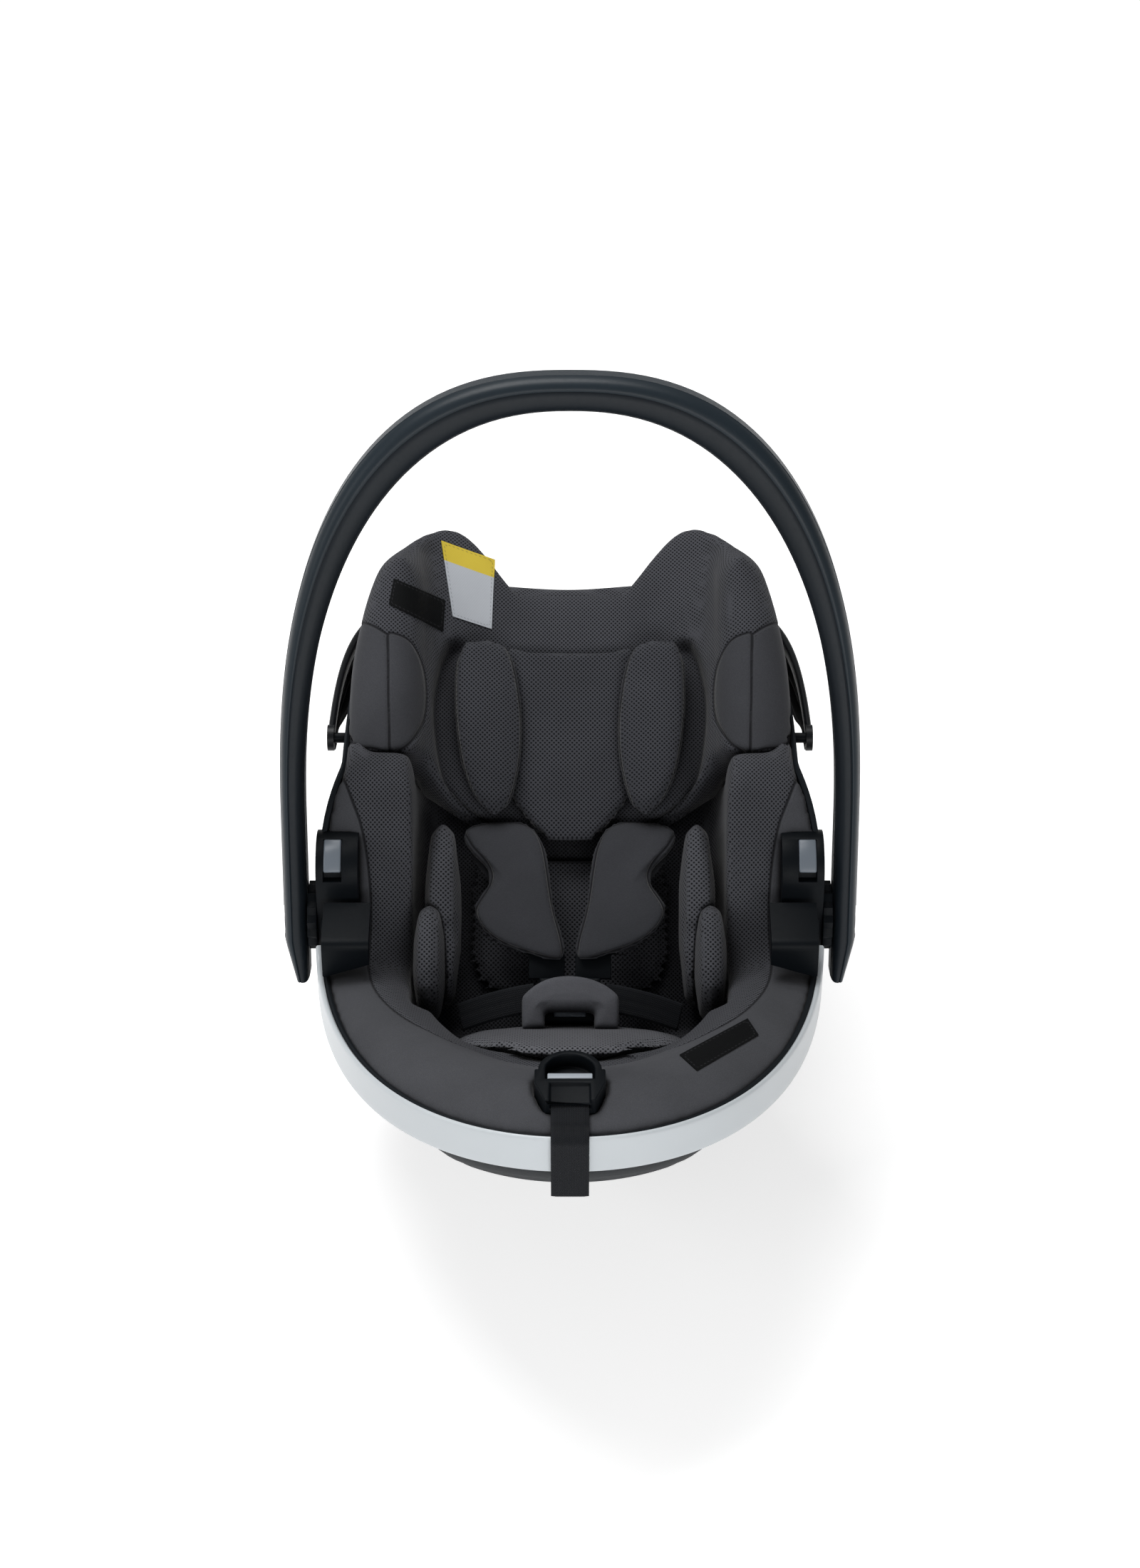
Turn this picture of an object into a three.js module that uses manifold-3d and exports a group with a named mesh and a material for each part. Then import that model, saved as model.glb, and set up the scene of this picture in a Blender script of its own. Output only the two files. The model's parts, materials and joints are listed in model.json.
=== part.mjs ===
// Infant carrier: a rearward-facing child car seat with an arched carrying handle, a padded
// harness with a covered buckle, a sliding winged headrest and a folded canopy.
// Millimetres. X to the right as seen from the foot end, Y towards the head end, Z up.
// The origin lies on the floor under the middle of the carrier's outer box. Left and right are
// as seen from the foot end.

import * as THREE from 'three';
import { mergeVertices } from 'three/addons/utils/BufferGeometryUtils.js';
import Module from 'manifold-3d';

const wasm = await Module();
wasm.setup();

// Overall sizes and clearances

const overallLength = 644;
const fitGap = 0.4;
const slideGap = 1.2;
const cutOverrun = 3;
const weldGap = 1e-4;
const sides = [[-1, 'left'], [1, 'right']];

// Shell and rim

const rimHalfWidth = 193;
const headHalfWidth = 177;
const rimFootInset = 3;
const rimHeadInset = 9;
const sillHeight = 190;
const footRise = 74;
const footRisePower = 1.7;
const headRimHeight = 302;
const headRimDip = 36;
const shoulderStartY = -62;
const shoulderEndY = 45;
const narrowStartAngle = -0.05;
const narrowEndAngle = 0.3;
const footRoundness = 2.04;
const headRoundness = 4;
const skirtHeight = 32;
const shellWall = 3.6;
const wallRiseShare = 0.5;
const keelHeight = 24;
const keelCentreY = 84;
const keelHalfWidth = 96;
const keelHalfLength = 130;
const keelRoundness = 2.5;
const footBelly = 1;
const noseBelly = 1.27;
const noseStart = 0.9;
const noseFull = 0.965;
const footBellyStart = 0.05;
const footBellyFull = 0.7;
const sideBelly = 2.3;
const headBelly = 2;
const headBulge = 14;
const bellyBlendPower = 1.5;
const hullSides = 40;
const hullSteps = 4;
const rimTurnShare = 0.5;
const rimSamples = 720;

// Rim band

const bandThickness = 4;
const bandHeight = 30;
const bandEndY = -46;
const bandTuck = 1.4;

// Skids

const skidHalfSpacing = 62;
const skidWidth = 24;
const skidFlatFrontY = -6;
const skidFlatBackY = 188;
const skidEndRun = 46;
const skidTop = 48;

// Foam liner and seat cover

const coverThickness = 6;
const lipCrown = 8;
const footLipCrown = 26;
const footLipStart = 0.3;
const footLipFull = 0.95;
const lipCrownShare = 0.4;
const liningCentreY = -20;
const liningCentreHeight = 135;
const headRamp = 48;
const headRampShare = 0.16;
const rampSideShare = 0.7;
const headwardShare = 0.35;
const liningReachShares = [0.94, 0.84, 0.7, 0.5, 0.2];
const bowlFloorHeight = 115;
const bowlFloorY = -50;
const bowlFloorHalfWidth = 72;
const bowlFloorHalfLength = 38;
const bowlTopHeight = 212;
const bowlHalfWidth = 118;
const bowlFootReach = 168;
const bowlHeadReach = 60;
const bowlRoundness = 2.4;
const bowlSides = 22;
const bowlShares = [[0, 0], [0.1, 0.36], [0.35, 0.66], [0.68, 0.86], [1, 1], [1.7, 1.06]];

// Backrest frame: X across, Y up along the back, Z out of the back

const reclineAngle = 36;
const troughHalfWidth = 155;
const troughStart = 194;
const troughEnd = 430;
const troughDepth = 260;
const troughFloorShare = 0.72;
const troughCornerShare = 0.4;

// Headrest

const headrestWingHalfSpan = 133;
const headrestDepth = 80;
const headrestFront = 96;
const headrestRoundness = 4;
const wingInnerX = 114;
const wingReach = 170;
const wingReachStart = 230;
const wingReachEnd = 395;
const wingPeakX = 98;
const wingLeanFull = 0.9;
const headrestPanelHalfThickness = 8;
const headrestSeam = 1.2;
const headrestDip = 350;
const headrestHornTop = 404;
const headrestShoulder = 353;
const headrestBottom = 156;
const headrestWingBottom = troughStart + 3;
const hornStartShare = 0.27;
const hornPeakShare = 0.58;
const hornEndShare = 1.05;
const wingStartShare = 0.42;
const wingFullShare = 0.77;
const wingEdgeShare = 0.07;
const topEdgeShare = 0.12;
const bottomEdgeShare = 0.05;
const headrestAcrossSteps = 28;
const headrestAlongSteps = 10;
const boardHalfWidth = 80;
const boardBottom = 178;
const boardTop = 338;
const leverHalfWidth = 30;
const leverHeight = 22;
const leverTravel = 8;

// Pads

const pillowEdgeShare = 0.93;
const pillowPower = 0.45;
const padSides = 30;
const leafSides = 20;
const huggerHeight = 29.5;
const huggerHalfThickness = 6;
const huggerHalfWidth = 60;
const huggerBottom = 141;
const huggerLength = 163;
const huggerOutlineShares = [
  [0, 0.99], [0.5, 1], [0.87, 1], [1, 0.67], [0.97, 0.36], [0.7, 0.17], [0.32, 0.02], [0, 0],
  [-0.32, 0.02], [-0.7, 0.17], [-0.97, 0.36], [-1, 0.67], [-0.87, 1], [-0.5, 1],
];
const leafCentreX = 63;
const leafCentreS = 230;
const leafHeight = 47;
const leafHalfThickness = 11;
const leafTilt = 14;
const leafHalfWidth = 27;
const leafHalfLength = 71;
const leafOutlineShares = [
  [0.74, 1], [-0.48, 1], [-1, 0.18], [-0.89, -0.55], [-0.41, -0.99], [0.11, -0.94], [0.7, -0.55],
  [1, 0.1], [1, 0.75],
];

// Handle mounts

const hubLength = 56;
const hubInnerX = 158.5;
const hubOuterX = 190;
const hubFoot = 160;
const hubArcHeight = 243;
const hubArcY = -3;
const releaseX = 177.5;
const releaseWidth = 13;
const releaseInnerRadius = 20;
const releaseStand = 1;
const releaseStartAngle = 95;
const releaseEndAngle = 150;
const releaseTravel = 14;
const releaseSlotGap = 1.5;
const axleRadius = 9;
const axleEndX = 202.4;
const axleSides = 20;
const lockRingRadius = 26;
const lockToothDepth = 3;
const lockTeeth = 14;

// Vehicle belt guides

const guideOuterX = 184;
const guideInnerX = 149;
const guideWall = 10;
const guideBottom = 180;
const guideTop = 232;
const guideCorner = 8;
const guideLift = 5;
const guideArm = 9;
const guideLength = 42;
const guideFrontY = -80;

// Handle

const pivotY = -14;
const pivotHeight = 205;
const handleTilt = 17;
const handleStandOff = 5;
const handleArm = 18;
const handleInnerHalfWidth = rimHalfWidth + handleStandOff;
const handleHalfWidth = handleInnerHalfWidth + handleArm;
const handleTop = 420;
const handleInnerTop = 393.5;
const handleShoulder = 79;
const handleTail = 47;
const handleTailTaper = 8;
const handleTailShares = [0, 0.35, 0.62, 0.85, 1];
const handleTaperShare = 0.75;
const handleDepth = 36;
const handleArmDepth = 44;
const handlePartingShare = 0.36;
const handleOuterRoundness = 2.5;
const handleInnerRoundness = 2.3;
const handleArchSteps = 24;
const handleSectionPower = 3;
const handleSectionSteps = 2;
const handleFlatShare = 0.5;
const buttonRadius = 14.5;
const buttonThickness = 6.5;
const buttonRecess = 0.6;
const buttonTravel = 5;
const buttonSides = 24;
const springRoom = 2.2;
const springRadius = 12;
const springWire = 1.6;
const springTurns = 2;

// Front harness adjuster and its strap

const adjusterShare = 0.81;
const adjusterHalfWidth = 24.5;
const adjusterMouthHalf = 17.5;
const adjusterLength = 36;
const adjusterStand = 7.5;
const adjusterDepth = 10;
const adjusterSlopeShare = 0.1;
const adjusterGrooveDepth = 3;
const recessStraight = 11;
const adjusterGrooveStart = recessStraight + 5;
const hoodRadius = 22;
const recessRadius = 17;
const recessDepth = 11;
const triggerLength = 6;
const triggerHalfWidth = 15.5;
const triggerHeight = 8;
const triggerTravel = 4;
const webbingWidth = 26;
const webbingThickness = 1.6;
const strapDrop = 50;
const strapTurn = 8;
const strapStartShares = [0.5, 0.75, 1];
const strapLipShares = [0.945, 0.97, 0.985];

// Infant insert and harness, in the backrest frame

const insertHalfThickness = 4.8;
const insertHalfWidth = 80;
const insertBottom = 20;
const insertLength = 122;
const insertOutlineShares = [
  [0, 1], [0.62, 1], [0.97, 0.93], [1, 0.57], [0.95, 0.16], [0.5, 0.02], [0, 0], [-0.5, 0.02],
  [-0.95, 0.16], [-1, 0.57], [-0.97, 0.93], [-0.62, 1],
];
const cushionY = -118;
const cushionHeight = 157;
const cushionTilt = 36;
const cushionHalfWidth = 99;
const cushionHalfLength = 85;
const cushionHalfThickness = 17;
const cushionRoundness = 2.3;
const cushionPoints = 16;
const upperBolsterX = 97;
const upperBolsterHalf = 13;
const upperBolsterStart = 12;
const upperBolsterLength = 144;
const upperBolsterLow = 9;
const upperBolsterHeight = 61;
const upperBolsterShares = [
  [0.03, 0.05], [0.33, 0], [0.68, 0], [0.89, 0.11], [1, 0.48], [0.97, 0.84], [0.81, 1],
  [0.33, 1], [0.08, 0.84], [0, 0.41],
];
const lowerBolsterX = 106;
const lowerBolsterHalf = 12;
const lowerBolsterStart = 0;
const lowerBolsterLength = 88;
const lowerBolsterLow = 22;
const lowerBolsterHeight = 68;
const lowerBolsterShares = [
  [0.05, 0.06], [0.57, 0], [0.89, 0.18], [1, 0.56], [0.89, 0.88], [0.55, 1], [0.16, 0.88],
  [0, 0.5],
];
const padHalfThickness = 6.5;
const padSlope = -0.28;
const padHeight = 78.6;
const padInnerX = 3;
const padWidth = 80;
const padBottom = 43;
const padLength = 120;
const padOutlineShares = [
  [0, 0], [0.44, 0.04], [0.76, 0.16], [0.9, 0.34], [0.75, 0.58], [0.95, 0.79], [1, 0.93],
  [0.68, 1], [0.35, 0.97], [0.19, 0.81], [0.09, 0.39],
];
const padLayers = 2;
const thinPadLayers = 1;
const backingHalfThickness = 2;
const backingDrop = 9.2;
const backingShiftX = 0.4;
const backingShiftS = -5;
const buckleHalfWidth = 23;
const buckleBottom = -4;
const buckleTop = 30;
const buckleFloor = 50;
const buckleFace = 66;
const buckleBevel = 2;
const releaseButtonHalf = 12;
const releaseButtonDepth = 8;
const releaseButtonBevel = 1;
const releaseButtonTravel = 4;
const releaseButtonMiddle = 12;
const coverPadHeight = 73;
const coverPadThickness = 11;
const coverPadBevel = 3.5;
const coverPadHalfWidth = 37;
const coverPadTop = 30;
const coverPadShoulder = 14;
const coverPadLegBottom = -12;
const coverPadSlotHalf = 19;
const coverPadSlotTop = 1;
const coverPadArchShare = 0.6;
const tongueInnerX = 4;
const tongueOuterX = 31;
const tongueTop = 50;
const tongueHeight = 57.5;
const tongueThickness = 4;
const shoulderStrapX = 46;
const shoulderStrapTop = 168;
const shoulderStrapEndHeight = 52;
const shoulderStrapShares = [
  [1, 1, 0.05], [1, 0.94, 0.058], [0.98, 0.881, 0.173], [0.96, 0.821, 0.365],
  [0.87, 0.702, 0.596], [0.67, 0.5, 0.808], [0.5, 0.357, 0.942], [0.39, 0.321, 1],
];
const lapStrapEndX = 83;
const lapStrapStart = 16;
const lapStrapHeight = 60;
const lapStrapShares = [
  [0.31, 1, 1], [0.53, 0.812, 0.967], [0.77, 0.562, 0.867], [1, 0.25, 0.733],
];
const lapStrapWidth = 22;
const adjusterStrapSteps = 26;
const shoulderStrapSteps = 14;
const lapStrapSteps = 8;
const crotchStrapSteps = 4;
const crotchStrapReach = 30;
const crotchStrapHeight = 58;
const crotchStrapShares = [
  [0, -0.167, 1], [0, -0.5, 0.745], [0, -1, 0.36],
];

// Canopy

const canopyHingeY = 93;
const canopyHingeHeight = 292;
const bowOuterInset = -9;
const bowThickness = 5;
const bowHeight = 12;
const bowRise = 9;
const bowTopHeight = canopyHingeHeight + bowRise;
const bowDip = 47;
const bowBossRadius = 10;
const bowPinRadius = 4;
const canopyRollInset = 8;
const canopyRollHeight = 34;

// Shared helpers

const axisX = new THREE.Vector3(1, 0, 0);

function lerp(a, b, share) {
  return a + (b - a) * share;
}

function smoothstep(from, to, value) {
  const share = Math.min(1, Math.max(0, (value - from) / (to - from)));
  return share * share * (3 - 2 * share);
}

function degrees(value) {
  return value * Math.PI / 180;
}

function polarRadius(angle, halfX, halfY, roundness) {
  const along = Math.abs(Math.cos(angle)) / halfX;
  const across = Math.abs(Math.sin(angle)) / halfY;
  return (along ** roundness + across ** roundness) ** (-1 / roundness);
}

// A closed solid from rings of equal length, its first and last ring closed by a fan.
function loft(rings) {
  const count = rings[0].length;
  const positions = [];
  const index = [];
  rings.forEach((ring) => ring.forEach((p) => positions.push(p.x, p.y, p.z)));
  for (let r = 0; r + 1 < rings.length; r += 1) {
    for (let i = 0; i < count; i += 1) {
      const a = r * count + i;
      const b = r * count + (i + 1) % count;
      index.push(a, b, a + count, b, b + count, a + count);
    }
  }
  [0, rings.length - 1].forEach((r, end) => {
    const centre = new THREE.Vector3();
    rings[r].forEach((p) => centre.add(p));
    centre.divideScalar(count);
    const hub = positions.length / 3;
    positions.push(centre.x, centre.y, centre.z);
    for (let i = 0; i < count; i += 1) {
      const a = r * count + i;
      const b = r * count + (i + 1) % count;
      index.push(...(end ? [a, b, hub] : [b, a, hub]));
    }
  });
  return closedGeometry(positions, index);
}

function signedVolume(positions, index) {
  let sum = 0;
  for (let i = 0; i < index.length; i += 3) {
    const [a, b, c] = [0, 1, 2].map((k) => new THREE.Vector3().fromArray(positions, 3 * index[i + k]));
    sum += a.dot(b.cross(c));
  }
  return sum;
}

function closedGeometry(positions, index) {
  const outward = signedVolume(positions, index) < 0 ? index.slice().reverse() : index;
  const geometry = new THREE.BufferGeometry();
  geometry.setAttribute('position', new THREE.Float32BufferAttribute(positions, 3));
  geometry.setIndex(outward);
  return geometry;
}

// Library solid from a closed geometry, and back again.
function solidOf(geometry) {
  const bare = new THREE.BufferGeometry();
  bare.setAttribute('position', geometry.getAttribute('position').clone());
  if (geometry.index) {
    bare.setIndex(geometry.index.clone());
  }
  const merged = mergeVertices(bare, weldGap);
  const corners = merged.index.array;
  const kept = [];
  for (let i = 0; i < corners.length; i += 3) {
    const [a, b, c] = corners.slice(i, i + 3);
    if (a !== b && b !== c && c !== a) {
      kept.push(a, b, c);
    }
  }
  return new wasm.Manifold(new wasm.Mesh({
    numProp: 3,
    vertProperties: new Float32Array(merged.getAttribute('position').array),
    triVerts: new Uint32Array(kept),
  }));
}

function geometryOf(solid) {
  const mesh = solid.getMesh();
  return closedGeometry(Array.from(mesh.vertProperties), Array.from(mesh.triVerts));
}

function subtract(geometry, ...cutters) {
  const left = cutters.reduce((rest, cutter) => rest.subtract(solidOf(cutter)), solidOf(geometry));
  return geometryOf(largest(left));
}

function union(geometry, ...others) {
  return geometryOf(others.reduce((sum, other) => sum.add(solidOf(other)), solidOf(geometry)));
}

function intersect(geometry, other) {
  return geometryOf(largest(solidOf(geometry).intersect(solidOf(other))));
}

// A cut can leave slivers beside the piece itself; only the piece is kept.
function largest(solid) {
  return solid.decompose().sort((a, b) => b.volume() - a.volume())[0];
}

// The same closed surface moved outwards by a clearance.
function grown(geometry, clearance) {
  const solid = solidOf(geometry).getMesh();
  const fat = closedGeometry(Array.from(solid.vertProperties), Array.from(solid.triVerts));
  fat.computeVertexNormals();
  const place = fat.getAttribute('position');
  const normal = fat.getAttribute('normal');
  for (let i = 0; i < place.count; i += 1) {
    place.setXYZ(
      i,
      place.getX(i) + normal.getX(i) * clearance,
      place.getY(i) + normal.getY(i) * clearance,
      place.getZ(i) + normal.getZ(i) * clearance,
    );
  }
  fat.deleteAttribute('normal');
  return fat;
}

function moved(geometry, matrix) {
  return geometry.clone().applyMatrix4(matrix);
}

function mirrored(geometry) {
  const mesh = solidOf(geometry).getMesh();
  const positions = Array.from(mesh.vertProperties, (value, i) => (i % 3 ? value : -value));
  return closedGeometry(positions, Array.from(mesh.triVerts));
}

function box(minimum, maximum) {
  const size = new THREE.Vector3().subVectors(maximum, minimum);
  const centre = new THREE.Vector3().addVectors(maximum, minimum).multiplyScalar(0.5);
  return new THREE.BoxGeometry(size.x, size.y, size.z).translate(centre.x, centre.y, centre.z);
}

// A slab from an outline, bevelled all round, its middle plane at zero height.
function slab(shape, thickness, bevel, curveSegments) {
  const geometry = new THREE.ExtrudeGeometry(shape, {
    depth: thickness - 2 * bevel,
    bevelEnabled: bevel > 0,
    bevelThickness: bevel,
    bevelSize: bevel,
    bevelOffset: -bevel,
    bevelSegments: 2,
    curveSegments,
  });
  return geometry.translate(0, 0, bevel - thickness / 2);
}

// A padded sheet: a middle surface over (across, along), thick inside and thin at its border.
function padded(middle, halfThickness, acrossSteps, alongSteps) {
  const small = 1e-3;
  const count = acrossSteps + 1;
  const positions = [];
  const index = [];
  for (const side of [1, -1]) {
    for (let j = 0; j <= alongSteps; j += 1) {
      for (let i = 0; i <= acrossSteps; i += 1) {
        const u = i / acrossSteps;
        const v = j / alongSteps;
        const du = u < 0.5 ? small : -small;
        const dv = v < 0.5 ? small : -small;
        const place = middle(u, v);
        const across = middle(u + du, v).sub(place).multiplyScalar(Math.sign(du));
        const along = middle(u, v + dv).sub(place).multiplyScalar(Math.sign(dv));
        const normal = across.cross(along).normalize().multiplyScalar(side * halfThickness(u, v));
        place.add(normal);
        positions.push(place.x, place.y, place.z);
      }
    }
  }
  const back = count * (alongSteps + 1);
  for (let j = 0; j < alongSteps; j += 1) {
    for (let i = 0; i < acrossSteps; i += 1) {
      const a = j * count + i;
      index.push(a, a + 1, a + count, a + 1, a + count + 1, a + count);
      const b = back + a;
      index.push(b + 1, b, b + count, b + count + 1, b + 1, b + count);
    }
  }
  const border = [];
  for (let i = 0; i < acrossSteps; i += 1) {
    border.push(i);
  }
  for (let j = 0; j < alongSteps; j += 1) {
    border.push(j * count + acrossSteps);
  }
  for (let i = acrossSteps; i > 0; i -= 1) {
    border.push(alongSteps * count + i);
  }
  for (let j = alongSteps; j > 0; j -= 1) {
    border.push(j * count);
  }
  border.forEach((a, k) => {
    const b = border[(k + 1) % border.length];
    index.push(b, a, a + back, b, a + back, b + back);
  });
  return closedGeometry(positions, index);
}

function borderTaper(share, edgeShare, power) {
  const inner = Math.min(1, Math.min(share, 1 - share) / edgeShare);
  return (1 - (1 - inner) ** power) ** (1 / power);
}

function finish(colour, roughness, metalness) {
  return new THREE.MeshStandardMaterial({ color: colour, roughness, metalness });
}

const finishes = {
  shell: finish(0x24292e, 0.55, 0),
  band: finish(0xd6dade, 0.35, 0),
  foam: finish(0xe8e8e4, 0.9, 0),
  cover: finish(0x46474b, 0.95, 0),
  mesh: finish(0x3d3e42, 0.95, 0),
  pad: finish(0x434448, 0.95, 0),
  webbing: finish(0x26272b, 0.8, 0),
  handle: finish(0x343b41, 0.4, 0),
  trim: finish(0x1c2328, 0.45, 0),
  inset: finish(0x68707a, 0.3, 0),
  steel: finish(0xb8bcc2, 0.3, 1),
};

const carrier = new THREE.Group();
const back = new THREE.Group();
back.position.set(0, bowlFloorY, bowlFloorHeight);
back.rotation.x = degrees(reclineAngle);
carrier.add(back);
back.updateMatrixWorld(true);
const backMatrix = back.matrixWorld.clone();
const intoBack = backMatrix.clone().invert();

function piece(name, geometry, material, parent = carrier) {
  const mesh = new THREE.Mesh(geometry, material);
  mesh.name = name;
  parent.add(mesh);
  return geometry;
}

// Rim curve and hull surface

const footReach = overallLength / 2 - rimFootInset;
const headReach = overallLength / 2 - rimHeadInset;

function rimHeight(x, y) {
  const foot = sillHeight + footRise * (Math.max(0, -y) / footReach) ** footRisePower;
  const head = headRimHeight - headRimDip * (1 - (Math.abs(x) / headHalfWidth) ** 2);
  return lerp(foot, head, smoothstep(shoulderStartY, shoulderEndY, y));
}

function rimPoint(angle, inset) {
  const headward = Math.sin(angle) > 0;
  const fold = Math.asin(Math.sin(angle));
  const half = lerp(rimHalfWidth, headHalfWidth, smoothstep(narrowStartAngle, narrowEndAngle, fold));
  const reach = headward ? headReach : footReach;
  const roundness = headward ? headRoundness : footRoundness;
  const radius = polarRadius(angle, half - inset, reach - inset, roundness);
  const x = radius * Math.cos(angle);
  const y = radius * Math.sin(angle);
  return new THREE.Vector3(x, y, rimHeight(x, y));
}

function keelPoint(angle, inset) {
  const radius = polarRadius(angle, keelHalfWidth - inset, keelHalfLength - inset, keelRoundness);
  return new THREE.Vector3(
    radius * Math.cos(angle),
    keelCentreY + radius * Math.sin(angle),
    keelHeight + inset,
  );
}

// How full the hull is below the rim: 1 is a straight slope, 2 a quarter of an ellipse.
function belly(angle) {
  const footward = -Math.sin(angle);
  if (footward < 0) {
    return lerp(sideBelly, headBelly, Math.abs(footward) ** bellyBlendPower);
  }
  const foot = lerp(sideBelly, footBelly, smoothstep(footBellyStart, footBellyFull, footward));
  return lerp(foot, noseBelly, smoothstep(noseStart, noseFull, footward));
}

function hullPoint(angle, drop, inset) {
  const top = rimPoint(angle, inset).setZ(rimPoint(angle, 0).z - skirtHeight + inset * wallRiseShare);
  const bottom = keelPoint(angle, inset);
  const power = 2 / belly(angle);
  const inward = Math.cos(drop * Math.PI / 2) ** power;
  const down = Math.sin(drop * Math.PI / 2) ** power;
  const bulge = headBulge * Math.max(0, Math.sin(angle)) * Math.sin(Math.PI * drop);
  return new THREE.Vector3(
    lerp(bottom.x, top.x, inward),
    lerp(bottom.y, top.y, inward) + bulge,
    lerp(top.z, bottom.z, down),
  );
}

function ringOf(count, pointAt) {
  return Array.from({ length: count }, (_, i) => pointAt(2 * Math.PI * i / count - Math.PI / 2));
}

// Angles round the rim from the foot, closer together where the rim turns more.
function rimAngles() {
  const angleAt = (i) => 2 * Math.PI * i / rimSamples - Math.PI / 2;
  const places = Array.from({ length: rimSamples + 2 }, (_, i) => rimPoint(angleAt(i), 0).setZ(0));
  const runs = places.slice(1).map((place, i) => place.clone().sub(places[i]));
  const length = runs.slice(1).reduce((sum, run) => sum + run.length(), 0);
  const sums = [0];
  for (let i = 1; i < runs.length; i += 1) {
    const turn = runs[i].angleTo(runs[i - 1]) / (2 * Math.PI);
    sums.push(sums[i - 1] + lerp(runs[i].length() / length, turn, rimTurnShare));
  }
  const half = Array.from({ length: hullSides / 2 + 1 }, (_, k) => {
    const wanted = sums[rimSamples] * k / hullSides;
    const next = Math.max(1, sums.findIndex((sum) => sum >= wanted));
    return angleAt(next - (sums[next] - wanted) / (sums[next] - sums[next - 1]));
  });
  return [...half, ...half.slice(1, -1).reverse().map((angle) => Math.PI - angle)];
}

const rimStations = rimAngles();

function rimRing(pointAt) {
  return rimStations.map(pointAt);
}

function hullRings(inset) {
  const rings = [rimRing((angle) => rimPoint(angle, inset))];
  for (let k = 0; k <= hullSteps; k += 1) {
    rings.push(rimRing((angle) => hullPoint(angle, k / hullSteps, inset)));
  }
  return rings;
}

// Height of the lining's top at a share of the way from its middle to the rim.
function liningTop(angle, reachShare, inset) {
  const rim = rimPoint(angle, inset);
  const headward = smoothstep(-headwardShare, headwardShare, Math.sin(angle));
  const middle = lerp(liningCentreHeight, rim.z - lipCrown, headward);
  const height = lerp(lipCrown, footLipCrown, smoothstep(footLipStart, footLipFull, -Math.sin(angle)));
  const crown = height * Math.sin(Math.PI * Math.min(1, (1 - reachShare) / lipCrownShare));
  const rampSides = smoothstep(rampSideShare, 1, Math.sin(angle));
  const ramp = headRamp * smoothstep(0, headRampShare, 1 - reachShare) * rampSides;
  return new THREE.Vector3(
    rim.x * reachShare,
    lerp(liningCentreY, rim.y, reachShare),
    lerp(middle, rim.z, reachShare) + crown + ramp,
  );
}

// Everything inside the hull up to a dished, crowned top.
function liningPlug(skirtInset, lowered) {
  const rings = hullRings(skirtInset).reverse();
  for (const reachShare of liningReachShares) {
    rings.push(rimRing((angle) => liningTop(angle, reachShare, liningInset)));
  }
  rings.slice(hullSteps + 1).forEach((ring) => ring.forEach((p) => { p.z -= lowered; }));
  return loft(rings);
}

// The space for the child: a bowl for the seat and a trough for the back and the headrest.
function seatSpace(clearance) {
  const bowl = bowlShares.map(([riseShare, spreadShare]) => ringOf(bowlSides, (angle) => {
    const reach = Math.sin(angle) < 0 ? bowlFootReach + bowlFloorY : bowlHeadReach - bowlFloorY;
    const low = polarRadius(angle, bowlFloorHalfWidth, bowlFloorHalfLength, bowlRoundness);
    const high = polarRadius(angle, bowlHalfWidth, reach, bowlRoundness);
    const radius = lerp(low, high, spreadShare) + clearance;
    return new THREE.Vector3(
      radius * Math.cos(angle),
      bowlFloorY + radius * Math.sin(angle),
      lerp(bowlFloorHeight, bowlTopHeight, riseShare) - clearance,
    );
  }));
  const aboveBack = box(
    new THREE.Vector3(-rimHalfWidth, -overallLength, -clearance),
    new THREE.Vector3(rimHalfWidth, overallLength, overallLength),
  );
  return union(
    intersect(loft(bowl), moved(aboveBack, backMatrix)),
    trough(troughStart, troughHalfWidth, clearance),
    trough(0, bowlHalfWidth, clearance),
  );
}

// Foam and cover as one block, fattened by a clearance towards the child and upwards.
function fillingBlock(clearance) {
  return subtract(liningPlug(liningInset, -clearance), seatSpace(-clearance));
}

function trough(start, halfWidth, clearance) {
  const floorHalf = halfWidth * troughFloorShare;
  const corner = halfWidth * troughCornerShare;
  const low = -clearance;
  const wide = halfWidth + clearance;
  const shape = new THREE.Shape();
  shape.moveTo(-floorHalf, low);
  shape.lineTo(floorHalf, low);
  shape.quadraticCurveTo(wide, low, wide, corner);
  shape.lineTo(wide, troughDepth);
  shape.lineTo(-wide, troughDepth);
  shape.lineTo(-wide, corner);
  shape.quadraticCurveTo(-wide, low, -floorHalf, low);
  const begin = start - clearance;
  const end = troughEnd + clearance;
  const geometry = new THREE.ExtrudeGeometry(shape, {
    depth: end - begin,
    bevelEnabled: false,
    curveSegments: 3,
  });
  geometry.rotateX(Math.PI / 2).translate(0, end, 0);
  return geometry.applyMatrix4(backMatrix);
}

// Hull pieces

const shellOuterInset = bandThickness + fitGap;
const shellInnerInset = shellOuterInset + shellWall;
const liningInset = shellInnerInset + fitGap;
const hubSpace = [-1, 1].map((side) => hubBlock(side, fitGap, cutOverrun));
const hullSolid = loft(hullRings(shellOuterInset));
const lowerShell = subtract(
  loft([...hullRings(shellInnerInset).reverse(), ...hullRings(shellOuterInset)]),
  ...hubSpace,
);
piece('lower_shell', lowerShell, finishes.shell);

const adjusterPocket = moved(adjusterBlock(fitGap), adjusterMatrix());
const foamLiner = subtract(
  liningPlug(liningInset, coverThickness),
  seatSpace(coverThickness),
  ...hubSpace,
  adjusterPocket,
);
piece('foam_liner', foamLiner, finishes.foam);

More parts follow.
